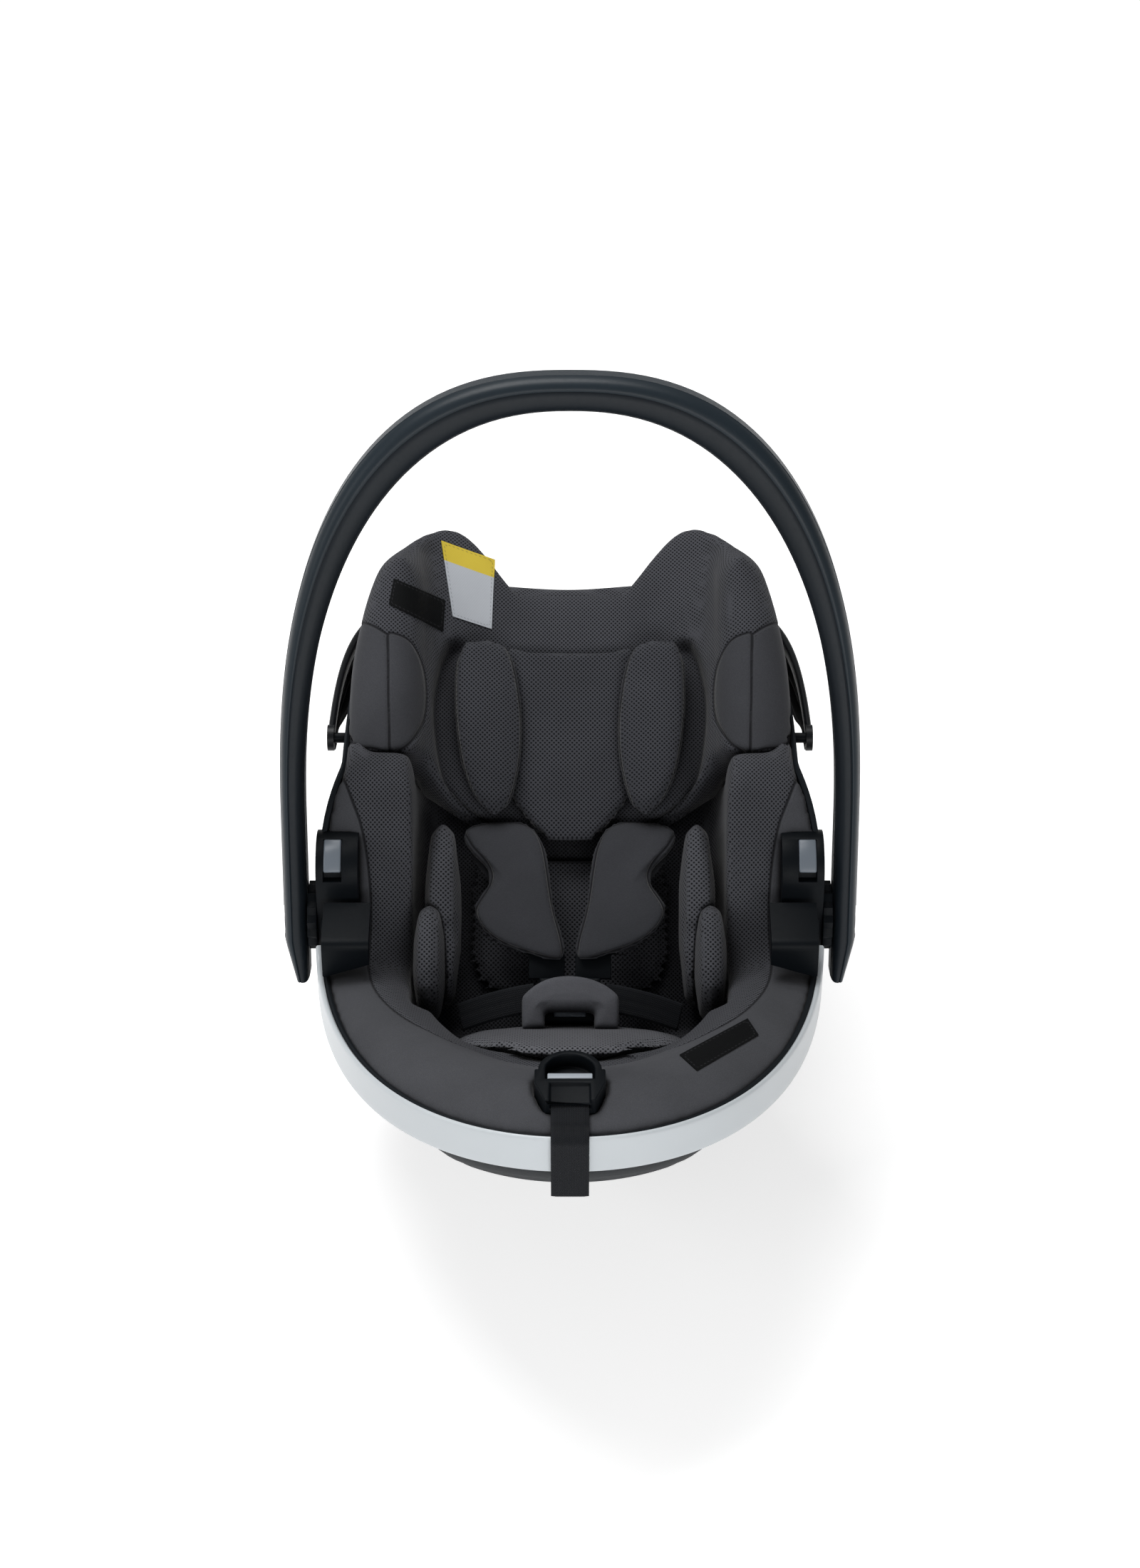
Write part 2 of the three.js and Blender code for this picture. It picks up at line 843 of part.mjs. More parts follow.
const coverCore = subtract(
  liningPlug(liningInset - cutOverrun, coverThickness - fitGap),
  seatSpace(coverThickness - fitGap),
);
const seatCover = subtract(
  liningPlug(liningInset, 0),
  seatSpace(0),
  coverCore,
  ...hubSpace,
  adjusterPocket,
);
piece('seat_cover', seatCover, finishes.cover);

piece('rim_band', rimBand(), finishes.band);

for (const [side, word] of sides) {
  piece(`skid_${word}`, subtract(skid(side), grown(hullSolid, fitGap)), finishes.shell);
}

// Light band round the foot half of the rim.
function rimBand() {
  const end = Math.atan2(bandEndY, rimHalfWidth);
  const start = -Math.PI - end;
  const turned = rimStations.map((angle) => (angle > Math.PI / 2 ? angle - 2 * Math.PI : angle));
  const between = turned.filter((angle) => angle > start && angle < end).sort((a, b) => a - b);
  const rings = [];
  for (const angle of [start, ...between, end]) {
    const outer = rimPoint(angle, 0);
    const inner = rimPoint(angle, bandThickness);
    const tucked = rimPoint(angle, bandTuck);
    const soft = bandThickness / 2;
    rings.push([
      new THREE.Vector3(inner.x, inner.y, inner.z),
      new THREE.Vector3(tucked.x, tucked.y, outer.z + soft / 2),
      new THREE.Vector3(outer.x, outer.y, outer.z - soft),
      new THREE.Vector3(outer.x, outer.y, outer.z - bandHeight + soft),
      new THREE.Vector3(tucked.x, tucked.y, outer.z - bandHeight),
      new THREE.Vector3(inner.x, inner.y, inner.z - bandHeight),
    ]);
  }
  return loft(rings);
}

// A runner under the keel, flat where the carrier stands and rising at both ends.
function skid(side) {
  const shape = new THREE.Shape();
  shape.moveTo(skidFlatFrontY, 0);
  shape.lineTo(skidFlatBackY, 0);
  shape.quadraticCurveTo(skidFlatBackY + skidEndRun, 0, skidFlatBackY + skidEndRun, skidTop);
  shape.lineTo(skidFlatFrontY - skidEndRun, skidTop);
  shape.quadraticCurveTo(skidFlatFrontY - skidEndRun, 0, skidFlatFrontY, 0);
  const geometry = new THREE.ExtrudeGeometry(shape, {
    depth: skidWidth,
    bevelEnabled: false,
    curveSegments: 6,
  });
  geometry.rotateX(Math.PI / 2).rotateZ(Math.PI / 2);
  return geometry.translate(side * skidHalfSpacing - skidWidth / 2, 0, 0);
}

// Handle mounts

// A tombstone block, let into the hull wall beside the pivot.
function hubBlock(side, clearance, overrun) {
  const half = hubLength / 2 + clearance;
  const shape = new THREE.Shape();
  shape.moveTo(-half, hubFoot - clearance - hubArcHeight);
  shape.lineTo(half, hubFoot - clearance - hubArcHeight);
  shape.lineTo(half, 0);
  shape.absarc(0, 0, half, 0, Math.PI);
  const width = hubOuterX - hubInnerX + clearance + overrun;
  const geometry = new THREE.ExtrudeGeometry(shape, {
    depth: width,
    bevelEnabled: false,
    curveSegments: 12,
  });
  geometry.rotateX(Math.PI / 2).rotateZ(Math.PI / 2);
  const inner = hubInnerX - clearance;
  return geometry.translate(side > 0 ? inner : -inner - width, hubArcY, hubArcHeight);
}

// A plain cylinder along X, from one distance off the middle plane to another.
function crossPin(side, radius, from, to, y, z, sidesRound) {
  const geometry = new THREE.CylinderGeometry(radius, radius, to - from, sidesRound);
  return geometry.rotateZ(Math.PI / 2).translate(side * (from + to) / 2, y, z);
}

// A block bent round the top of the hub, from one angle above the head end to another.
function hubSector(side, innerRadius, outerRadius, halfWidth, startAngle, endAngle) {
  const shape = new THREE.Shape();
  shape.absarc(0, 0, outerRadius, startAngle, endAngle);
  shape.absarc(0, 0, innerRadius, endAngle, startAngle, true);
  const geometry = new THREE.ExtrudeGeometry(shape, {
    depth: 2 * halfWidth,
    bevelEnabled: false,
    curveSegments: 8,
  });
  geometry.rotateX(Math.PI / 2).rotateZ(Math.PI / 2);
  return geometry.translate(side * releaseX - halfWidth, hubArcY, hubArcHeight);
}

for (const [side, word] of sides) {
  const slot = hubSector(
    side,
    releaseInnerRadius - fitGap,
    hubLength / 2 + releaseStand + cutOverrun,
    releaseWidth / 2 + fitGap,
    degrees(releaseStartAngle - releaseSlotGap),
    degrees(releaseEndAngle + releaseTravel + releaseSlotGap),
  );
  const boreStart = hubInnerX - cutOverrun;
  const boreEnd = hubOuterX + cutOverrun;
  const bore = crossPin(side, axleRadius + fitGap, boreStart, boreEnd, pivotY, pivotHeight, axleSides);
  piece(`hub_housing_${word}`, subtract(hubBlock(side, 0, 0), slot, bore), finishes.trim);
  piece(`adapter_release_${word}`, hubSector(
    side,
    releaseInnerRadius,
    hubLength / 2 + releaseStand,
    releaseWidth / 2,
    degrees(releaseStartAngle),
    degrees(releaseEndAngle),
  ), finishes.inset);
  const axle = crossPin(side, axleRadius, hubInnerX + fitGap, axleEndX, pivotY, pivotHeight, axleSides);
  piece(`pivot_axle_${word}`, axle, finishes.steel);
  piece(`lock_ring_${word}`, lockRing(side), finishes.trim);
  piece(`belt_guide_${word}`, beltGuide(side), finishes.trim);
}

// The notched ring that the handle locks into.
function lockRing(side) {
  const shape = new THREE.Shape();
  const toothStep = 2 * Math.PI / (2 * lockTeeth);
  for (let k = 0; k < 2 * lockTeeth; k += 1) {
    const radius = k % 2 ? lockRingRadius : lockRingRadius - lockToothDepth;
    const place = [radius * Math.cos(k * toothStep), radius * Math.sin(k * toothStep)];
    if (k === 0) {
      shape.moveTo(...place);
    } else {
      shape.lineTo(...place);
    }
  }
  const hole = new THREE.Path();
  hole.absarc(0, 0, axleRadius + fitGap, 0, 2 * Math.PI, true);
  shape.holes.push(hole);
  const width = handleInnerHalfWidth - hubOuterX - 2 * fitGap;
  const geometry = new THREE.ExtrudeGeometry(shape, { depth: width, bevelEnabled: false, curveSegments: 12 });
  geometry.rotateY(Math.PI / 2);
  const start = hubOuterX + fitGap;
  return geometry.translate(side > 0 ? start : -start - width, pivotY, pivotHeight);
}

// A hook on the rim that the vehicle's lap belt is led under, open towards the hub.
function beltGuide(side) {
  const backY = guideFrontY + guideLength;
  const shape = new THREE.Shape();
  shape.moveTo(guideFrontY, guideBottom);
  shape.lineTo(guideFrontY, guideTop - guideCorner);
  shape.quadraticCurveTo(guideFrontY, guideTop, guideFrontY + guideCorner, guideTop);
  shape.lineTo(backY, guideTop + guideLift);
  shape.lineTo(backY, guideTop + guideLift - guideArm);
  shape.lineTo(guideFrontY + guideWall, guideTop - guideArm);
  shape.lineTo(guideFrontY + guideWall, guideBottom);
  const width = guideOuterX - guideInnerX;
  const geometry = new THREE.ExtrudeGeometry(shape, {
    depth: width,
    bevelEnabled: false,
    curveSegments: 5,
  });
  geometry.rotateX(Math.PI / 2).rotateZ(Math.PI / 2).translate(side > 0 ? guideInnerX : -guideOuterX, 0, 0);
  const filling = grown(liningPlug(liningInset, 0), fitGap);
  return subtract(geometry, filling, grown(hullSolid, fitGap), grown(rimBand(), fitGap));
}

// Carrying handle: Z up the arms from the pivot, X across

const handle = new THREE.Group();
handle.position.set(0, pivotY, pivotHeight);
handle.rotation.x = -degrees(handleTilt);
carrier.add(handle);

function handleStations() {
  const stations = [];
  for (const share of handleTailShares) {
    const inward = handleTailTaper * Math.max(0, share - handleTaperShare) / (1 - handleTaperShare);
    const z = lerp(handleShoulder, -handleTail, share);
    stations.push({
      outer: new THREE.Vector2(-handleHalfWidth + inward, z),
      inner: new THREE.Vector2(-handleInnerHalfWidth, z),
      depth: handleArmDepth,
    });
  }
  stations.reverse();
  for (let k = 1; k < handleArchSteps; k += 1) {
    const angle = Math.PI * (1 - k / handleArchSteps);
    const reach = handleTop - handleShoulder;
    const innerReach = handleInnerTop - handleShoulder;
    const out = polarRadius(angle, handleHalfWidth, reach, handleOuterRoundness);
    const inn = polarRadius(angle, handleInnerHalfWidth, innerReach, handleInnerRoundness);
    stations.push({
      outer: new THREE.Vector2(out * Math.cos(angle), handleShoulder + out * Math.sin(angle)),
      inner: new THREE.Vector2(inn * Math.cos(angle), handleShoulder + inn * Math.sin(angle)),
      depth: lerp(handleArmDepth, handleDepth, Math.sin(angle)),
    });
  }
  const arm = stations.slice(0, handleTailShares.length).reverse();
  arm.forEach(({ outer, inner, depth }) => stations.push({
    outer: new THREE.Vector2(-outer.x, outer.y),
    inner: new THREE.Vector2(-inner.x, inner.y),
    depth,
  }));
  return stations;
}

// How broad the handle is at a share of its thickness from the inside.
function handleBreadthShare(share) {
  const round = 1 - Math.abs(2 * share - 1) ** handleSectionPower;
  return Math.max(round ** (1 / handleSectionPower), handleFlatShare);
}

// One of the handle's two halves, between two shares of its thickness from the inside.
function handleHalf(fromShare, toShare) {
  const rings = handleStations().map(({ outer, inner, depth }) => {
    const ring = [];
    const point = (share, sideShare) => new THREE.Vector3(
      lerp(inner.x, outer.x, share),
      sideShare * depth / 2,
      lerp(inner.y, outer.y, share),
    );
    for (let k = 0; k <= handleSectionSteps; k += 1) {
      const share = lerp(fromShare, toShare, k / handleSectionSteps);
      ring.push(point(share, handleBreadthShare(share)));
    }
    for (let k = handleSectionSteps; k >= 0; k -= 1) {
      const share = lerp(fromShare, toShare, k / handleSectionSteps);
      ring.push(point(share, -handleBreadthShare(share)));
    }
    return ring;
  });
  return loft(rings);
}

const partingGapShare = fitGap / handleArm;
const pocketFloorX = handleHalfWidth - buttonRecess - buttonThickness - buttonTravel - springRoom;
const buttonFace = handleHalfWidth - buttonRecess;
const armBoreStart = handleInnerHalfWidth - cutOverrun;
const armCuts = sides.flatMap(([side]) => [
  crossPin(side, axleRadius + fitGap, armBoreStart, pocketFloorX + cutOverrun, 0, 0, axleSides),
  crossPin(side, buttonRadius + fitGap, pocketFloorX, handleHalfWidth + cutOverrun, 0, 0, buttonSides),
]);
const innerHalf = handleHalf(0, 1 - handlePartingShare - partingGapShare);
const outerHalf = handleHalf(1 - handlePartingShare, 1);
piece('handle_inner_shell', subtract(innerHalf, ...armCuts), finishes.handle, handle);
piece('handle_outer_shell', subtract(outerHalf, ...armCuts), finishes.handle, handle);

for (const [side, word] of sides) {
  const cap = crossPin(side, buttonRadius, buttonFace - buttonThickness, buttonFace, 0, 0, buttonSides);
  piece(`handle_lock_button_${word}`, cap, finishes.trim, handle);
  const spring = lockSpring(side);
  piece(`lock_spring_${word}`, spring, finishes.steel, handle);
}

// A short coil spring that pushes the lock button outwards.
function lockSpring(side) {
  const length = buttonFace - buttonThickness - pocketFloorX - 2 * fitGap - springWire;
  class Coil extends THREE.Curve {
    getPoint(t) {
      const turn = 2 * Math.PI * springTurns * t;
      return new THREE.Vector3(
        length * t,
        springRadius * Math.cos(turn),
        springRadius * Math.sin(turn),
      );
    }
  }
  const section = new THREE.Shape();
  section.absarc(0, 0, springWire / 2, 0, 2 * Math.PI);
  const geometry = new THREE.ExtrudeGeometry(section, {
    steps: 8 * springTurns,
    extrudePath: new Coil(),
    bevelEnabled: false,
    curveSegments: 3,
  });
  const start = pocketFloorX + fitGap + springWire / 2;
  geometry.translate(start, 0, 0);
  return side > 0 ? geometry : geometry.rotateZ(Math.PI);
}

// Headrest, in the backrest frame

// How far along the backrest a place of the headrest is.
function headrestPlace(u, v) {
  const across = Math.abs(2 * u - 1);
  const horn = smoothstep(hornStartShare, hornPeakShare, across) * (headrestHornTop - headrestDip);
  const fall = smoothstep(hornPeakShare, hornEndShare, across) * (headrestHornTop - headrestShoulder);
  const top = headrestDip + horn - fall;
  const full = smoothstep(wingStartShare, wingFullShare, across);
  return lerp(lerp(headrestBottom, headrestWingBottom, full), top, v);
}

// A wing's outer face: straight at first, then rounding inwards to the horn.
function wingOuterX(along) {
  const share = Math.min(1, Math.max(0, along - wingReachStart) / (wingReachEnd - wingReachStart));
  return lerp(wingPeakX, wingReach, Math.sqrt(1 - share ** 2));
}

function wingHalfThickness(along) {
  return Math.max(headrestPanelHalfThickness, (wingOuterX(along) - wingInnerX) / 2);
}

function headrestMiddle(u, v) {
  const swing = (2 * u - 1) * Math.PI / 2;
  const angle = swing - Math.PI / 2;
  const radius = polarRadius(angle, headrestWingHalfSpan, headrestDepth, headrestRoundness);
  const along = headrestPlace(u, v);
  const wingX = wingOuterX(along) - wingHalfThickness(along);
  const lean = smoothstep(hornPeakShare, wingLeanFull, Math.abs(2 * u - 1));
  return new THREE.Vector3(
    radius * Math.cos(angle) * lerp(1, wingX / headrestWingHalfSpan, lean),
    along,
    headrestFront + radius * Math.sin(angle),
  );
}

function headrestHalf(u, v) {
  const fullness = smoothstep(wingStartShare, wingFullShare, Math.abs(2 * u - 1));
  const full = lerp(headrestPanelHalfThickness, wingHalfThickness(headrestPlace(u, v)), fullness);
  const endShare = v < 0.5 ? bottomEdgeShare : topEdgeShare;
  return full * borderTaper(u, wingEdgeShare, 2) * borderTaper(v, endShare, 2) + headrestSeam;
}

function inBack(geometry) {
  return moved(geometry, backMatrix);
}

const slideBlock = moved(fillingBlock(slideGap), intoBack);
const headrestForm = padded(headrestMiddle, headrestHalf, headrestAcrossSteps, headrestAlongSteps);
const rimSpace = subtract(
  loft(hullRings(0).map((ring) => ring.map((p) => p.setZ(p.z + slideGap)))),
  seatSpace(-slideGap),
);
const headrestCover = subtract(headrestForm, slideBlock, moved(rimSpace, intoBack));
piece('headrest_cover', headrestCover, finishes.cover, back);
const headrestFat = grown(headrestCover, fitGap);

const headrestBackHeight = headrestFront - headrestDepth - headrestPanelHalfThickness - headrestSeam;
const boardTopHeight = headrestBackHeight - fitGap;
const board = box(
  new THREE.Vector3(-boardHalfWidth, boardBottom, fitGap),
  new THREE.Vector3(boardHalfWidth, boardTop, boardTopHeight),
);
const leverPocket = box(
  new THREE.Vector3(-leverHalfWidth - fitGap, boardTop - leverHeight - fitGap, 0),
  new THREE.Vector3(leverHalfWidth + fitGap, boardTop + cutOverrun, boardTopHeight + cutOverrun),
);
piece('headrest_board', subtract(board, leverPocket, headrestFat), finishes.shell, back);
piece('headrest_release_lever', box(
  new THREE.Vector3(-leverHalfWidth, boardTop - leverHeight, fitGap),
  new THREE.Vector3(leverHalfWidth, boardTop - leverTravel / 2, boardTopHeight),
), finishes.trim, back);

// A smooth closed outline through a few points, as places round its centre.
function outlineOf(points, count) {
  const curve = new THREE.CatmullRomCurve3(
    points.map(([x, y]) => new THREE.Vector3(x, y, 0)),
    true,
    'centripetal',
  );
  return curve.getSpacedPoints(count).slice(0, count);
}

// Points at shares of a breadth and a length, measured from a start.
function outlineAt(shares, startX, breadth, startY, length) {
  return shares.map(([x, y]) => [startX + x * breadth, startY + y * length]);
}

// A stuffed pad inside an outline, full in the middle and drawn in towards its seam.
function pillow(points, halfThickness, count, steps) {
  const edge = outlineOf(points, count);
  const centre = new THREE.Vector3();
  edge.forEach((p) => centre.add(p));
  centre.divideScalar(count);
  const rings = [];
  for (let k = 0; k <= 2 * steps; k += 1) {
    const lift = Math.PI / 2 * (k / steps - 1) * pillowEdgeShare;
    const spread = Math.cos(lift) ** pillowPower;
    const height = halfThickness * Math.sin(lift) / Math.sin(Math.PI / 2 * pillowEdgeShare);
    rings.push(edge.map((p) => new THREE.Vector3(
      lerp(centre.x, p.x, spread),
      lerp(centre.y, p.y, spread),
      height,
    )));
  }
  return loft(rings);
}

const huggerOutline = outlineAt(huggerOutlineShares, 0, huggerHalfWidth, huggerBottom, huggerLength);
const leafOutline = outlineAt(leafOutlineShares, 0, leafHalfWidth, 0, leafHalfLength);
const hugger = subtract(
  pillow(huggerOutline, huggerHalfThickness, padSides, padLayers).translate(0, 0, huggerHeight),
  headrestFat,
);
piece('head_hugger_pad', hugger, finishes.mesh, back);
const huggerFat = grown(hugger, fitGap);

for (const [side, word] of sides) {
  const leaf = pillow(leafOutline, leafHalfThickness, leafSides, padLayers);
  leaf.rotateY(-degrees(leafTilt)).translate(leafCentreX, leafCentreS, leafHeight);
  const placed = side > 0 ? leaf : mirrored(leaf);
  piece(`head_hugger_wing_${word}`, subtract(placed, huggerFat, headrestFat), finishes.mesh, back);
}

// Adjuster on the front lip: Y towards the head end along the lip, Z out of it

function adjusterMatrix() {
  const place = liningTop(-Math.PI / 2, adjusterShare, liningInset);
  const ahead = liningTop(-Math.PI / 2, adjusterShare + adjusterSlopeShare, liningInset);
  const slope = Math.atan2(ahead.z - place.z, place.y - ahead.y);
  return new THREE.Matrix4().makeRotationX(-slope).setPosition(place);
}

function adjusterBlock(clearance) {
  const half = adjusterHalfWidth + clearance;
  const mouth = adjusterMouthHalf + clearance;
  const radius = hoodRadius + clearance;
  const shape = new THREE.Shape();
  shape.moveTo(-mouth, -adjusterLength - clearance);
  shape.lineTo(mouth, -adjusterLength - clearance);
  shape.lineTo(half, -adjusterGrooveStart);
  shape.lineTo(half, clearance);
  shape.lineTo(radius, clearance);
  shape.absarc(0, 0, radius, 0, Math.PI);
  shape.lineTo(-half, clearance);
  shape.lineTo(-half, -adjusterGrooveStart);
  const top = clearance > 0 ? adjusterStand + cutOverrun : adjusterStand;
  const geometry = new THREE.ExtrudeGeometry(shape, {
    depth: adjusterDepth + top + clearance,
    bevelEnabled: false,
    curveSegments: 12,
  });
  return geometry.translate(0, 0, -adjusterDepth - clearance);
}

const adjuster = new THREE.Group();
adjuster.applyMatrix4(adjusterMatrix());
carrier.add(adjuster);

const recess = new THREE.CylinderGeometry(recessRadius, recessRadius, recessDepth + cutOverrun, 28);
recess.rotateX(Math.PI / 2).translate(0, 0, adjusterStand - recessDepth / 2 + cutOverrun / 2);
const recessHalf = box(
  new THREE.Vector3(-recessRadius, 0, -adjusterDepth),
  new THREE.Vector3(recessRadius, recessRadius, adjusterStand + 2 * cutOverrun),
);
const recessSlot = box(
  new THREE.Vector3(-recessRadius, -recessStraight, adjusterStand - recessDepth),
  new THREE.Vector3(recessRadius, weldGap, adjusterStand + cutOverrun),
);
const triggerTop = adjusterStand - fitGap;
const grooveHalf = webbingWidth / 2 + 2 * fitGap;
const strapTunnel = box(
  new THREE.Vector3(-grooveHalf, -adjusterLength - cutOverrun, 0),
  new THREE.Vector3(grooveHalf, -adjusterGrooveStart, webbingThickness + 2 * fitGap),
);
const roofGroove = box(
  new THREE.Vector3(-grooveHalf, -adjusterLength - cutOverrun, adjusterStand - adjusterGrooveDepth),
  new THREE.Vector3(grooveHalf, -adjusterGrooveStart, adjusterStand + cutOverrun),
);
const adjusterHousing = subtract(
  adjusterBlock(0),
  intersect(recess, recessHalf),
  recessSlot,
  strapTunnel,
  roofGroove,
);
piece('adjuster_housing', adjusterHousing, finishes.trim, adjuster);
const triggerStart = fitGap - recessStraight;
piece('adjuster_trigger', box(
  new THREE.Vector3(-triggerHalfWidth, triggerStart, triggerTop - triggerHeight + triggerTravel),
  new THREE.Vector3(triggerHalfWidth, triggerStart + triggerLength, triggerTop),
), finishes.inset, adjuster);

// A flat strap along a route, its breadth kept in one direction.
function ribbon(route, width, thickness, breadthDirection, steps) {
  const curve = new THREE.CatmullRomCurve3(route, false, 'centripetal');
  const rings = [];
  for (let k = 0; k <= steps; k += 1) {
    const place = curve.getPointAt(k / steps);
    const along = curve.getTangentAt(k / steps);
    const breadth = breadthDirection.clone().addScaledVector(along, -along.dot(breadthDirection)).normalize();
    const lift = new THREE.Vector3().crossVectors(along, breadth).multiplyScalar(thickness / 2);
    breadth.multiplyScalar(width / 2);
    rings.push([
      place.clone().add(breadth).add(lift),
      place.clone().sub(breadth).add(lift),
      place.clone().sub(breadth).sub(lift),
      place.clone().add(breadth).sub(lift),
    ]);
  }
  return loft(rings);
}

function adjusterStrap() {
  const matrix = adjusterMatrix();
  const lift = fitGap + webbingThickness / 2;
  const route = strapStartShares
    .map((share) => -adjusterLength * share)
    .map((y) => new THREE.Vector3(0, y, lift).applyMatrix4(matrix));
  for (const share of strapLipShares) {
    const place = liningTop(-Math.PI / 2, share, liningInset);
    place.z += 2 * fitGap + webbingThickness;
    route.push(place);
  }
  const rim = rimPoint(-Math.PI / 2, 0);
  const hangY = (webbingThickness - overallLength) / 2;
  route.push(new THREE.Vector3(0, rim.y + bandThickness, rim.z + webbingThickness * 2));
  route.push(new THREE.Vector3(0, hangY + fitGap, rim.z + fitGap));
  route.push(new THREE.Vector3(0, hangY, rim.z - strapTurn));
  route.push(new THREE.Vector3(0, hangY, rim.z - strapDrop / 2));
  route.push(new THREE.Vector3(0, hangY, rim.z - strapDrop));
  return ribbon(route, webbingWidth, webbingThickness, axisX, adjusterStrapSteps);
}

piece('adjuster_strap', adjusterStrap(), finishes.webbing);

// Infant insert

const fillingFat = fillingBlock(fitGap);
const coverFat = moved(fillingFat, intoBack);
const insertOutline = outlineAt(insertOutlineShares, 0, insertHalfWidth, insertBottom, insertLength);
const insertPad = subtract(
  pillow(insertOutline, insertHalfThickness, leafSides, thinPadLayers).translate(0, 0, insertHalfThickness + fitGap),
  coverFat,
);
piece('insert_back_pad', insertPad, finishes.mesh, back);
const insertFat = grown(insertPad, fitGap);

const alongBack = new THREE.Matrix4().makeBasis(
  new THREE.Vector3(0, 1, 0),
  new THREE.Vector3(0, 0, 1),
  new THREE.Vector3(1, 0, 0),
);

function bolster(points, halfThickness, side, x, ...cutters) {
  const pad = pillow(points, halfThickness, leafSides, padLayers).applyMatrix4(alongBack).translate(x, 0, 0);
  return subtract(side > 0 ? pad : mirrored(pad), ...cutters);
}

const upperBolsterOutline = outlineAt(
  upperBolsterShares,
  upperBolsterStart,
  upperBolsterLength,
  upperBolsterLow,
  upperBolsterHeight,
);
const lowerBolsterOutline = outlineAt(
  lowerBolsterShares,
  lowerBolsterStart,
  lowerBolsterLength,
  lowerBolsterLow,
  lowerBolsterHeight,
);
const bolsterFats = [];
for (const [side, word] of sides) {
  const lower = bolster(lowerBolsterOutline, lowerBolsterHalf, side, lowerBolsterX, coverFat, insertFat);
  piece(`lower_bolster_${word}`, lower, finishes.mesh, back);
  const lowerFat = grown(lower, fitGap);
  const upper = bolster(
    upperBolsterOutline,
    upperBolsterHalf,
    side,
    upperBolsterX,
    coverFat,
    insertFat,
    lowerFat,
    headrestFat,
  );
  piece(`upper_bolster_${word}`, upper, finishes.mesh, back);
  bolsterFats.push(lowerFat, grown(upper, fitGap));
}

// Buckle, its padded cover and the straps

function roundedBlock(halfWidth, bottom, top, low, high, bevel) {
  const shape = new THREE.Shape();
  shape.moveTo(-halfWidth, bottom);
  shape.lineTo(halfWidth, bottom);
  shape.lineTo(halfWidth, top);
  shape.lineTo(-halfWidth, top);
  return slab(shape, high - low, bevel, 1).translate(0, 0, (low + high) / 2);
}

function releaseButtonWell() {
  const half = releaseButtonHalf + fitGap;
  return box(
    new THREE.Vector3(-half, releaseButtonMiddle - half, buckleFace - releaseButtonDepth - fitGap),
    new THREE.Vector3(half, releaseButtonMiddle + half, buckleFace + cutOverrun),
  );
}

const buckleBody = subtract(
  roundedBlock(buckleHalfWidth, buckleBottom, buckleTop, buckleFloor, buckleFace, buckleBevel),
  releaseButtonWell(),
);
piece('buckle_body', buckleBody, finishes.trim, back);
piece('buckle_release_button', roundedBlock(
  releaseButtonHalf,
  releaseButtonMiddle - releaseButtonHalf,
  releaseButtonMiddle + releaseButtonHalf,
  buckleFace - releaseButtonDepth + releaseButtonTravel,
  buckleFace,
  releaseButtonBevel,
), finishes.inset, back);

function coverPadShape() {
  const shape = new THREE.Shape();
  shape.moveTo(-coverPadHalfWidth, coverPadLegBottom);
  shape.lineTo(-coverPadSlotHalf, coverPadLegBottom);
  shape.lineTo(-coverPadSlotHalf, coverPadSlotTop);
  shape.lineTo(coverPadSlotHalf, coverPadSlotTop);
  shape.lineTo(coverPadSlotHalf, coverPadLegBottom);
  shape.lineTo(coverPadHalfWidth, coverPadLegBottom);
  shape.lineTo(coverPadHalfWidth, coverPadShoulder);
  const archX = coverPadHalfWidth * coverPadArchShare;
  shape.quadraticCurveTo(archX, coverPadTop, 0, coverPadTop);
  shape.quadraticCurveTo(-archX, coverPadTop, -coverPadHalfWidth, coverPadShoulder);
  return shape;
}

const buckleCover = slab(coverPadShape(), coverPadThickness, coverPadBevel, 6);
buckleCover.translate(0, 0, coverPadHeight);
piece('buckle_cover_pad', buckleCover, finishes.pad, back);

const padOutline = outlineAt(padOutlineShares, padInnerX, padWidth, padBottom, padLength);
const padLean = new THREE.Matrix4().set(1, 0, 0, 0, 0, 1, 0, 0, 0, padSlope, 1, padHeight, 0, 0, 0, 1);
const alongS = new THREE.Vector3(0, 1, 0);
const routeOf = (shares, x, s, n) => shares.map((share) => (
  new THREE.Vector3(share[0] * x, share[1] * s, share[2] * n)
));
const buckleFat = grown(buckleBody, fitGap);
const shoulderRoute = routeOf(shoulderStrapShares, shoulderStrapX, shoulderStrapTop, shoulderStrapEndHeight);
const lapRoute = routeOf(lapStrapShares, lapStrapEndX, lapStrapStart, lapStrapHeight);
const crotchRoute = routeOf(crotchStrapShares, 0, crotchStrapReach, crotchStrapHeight);

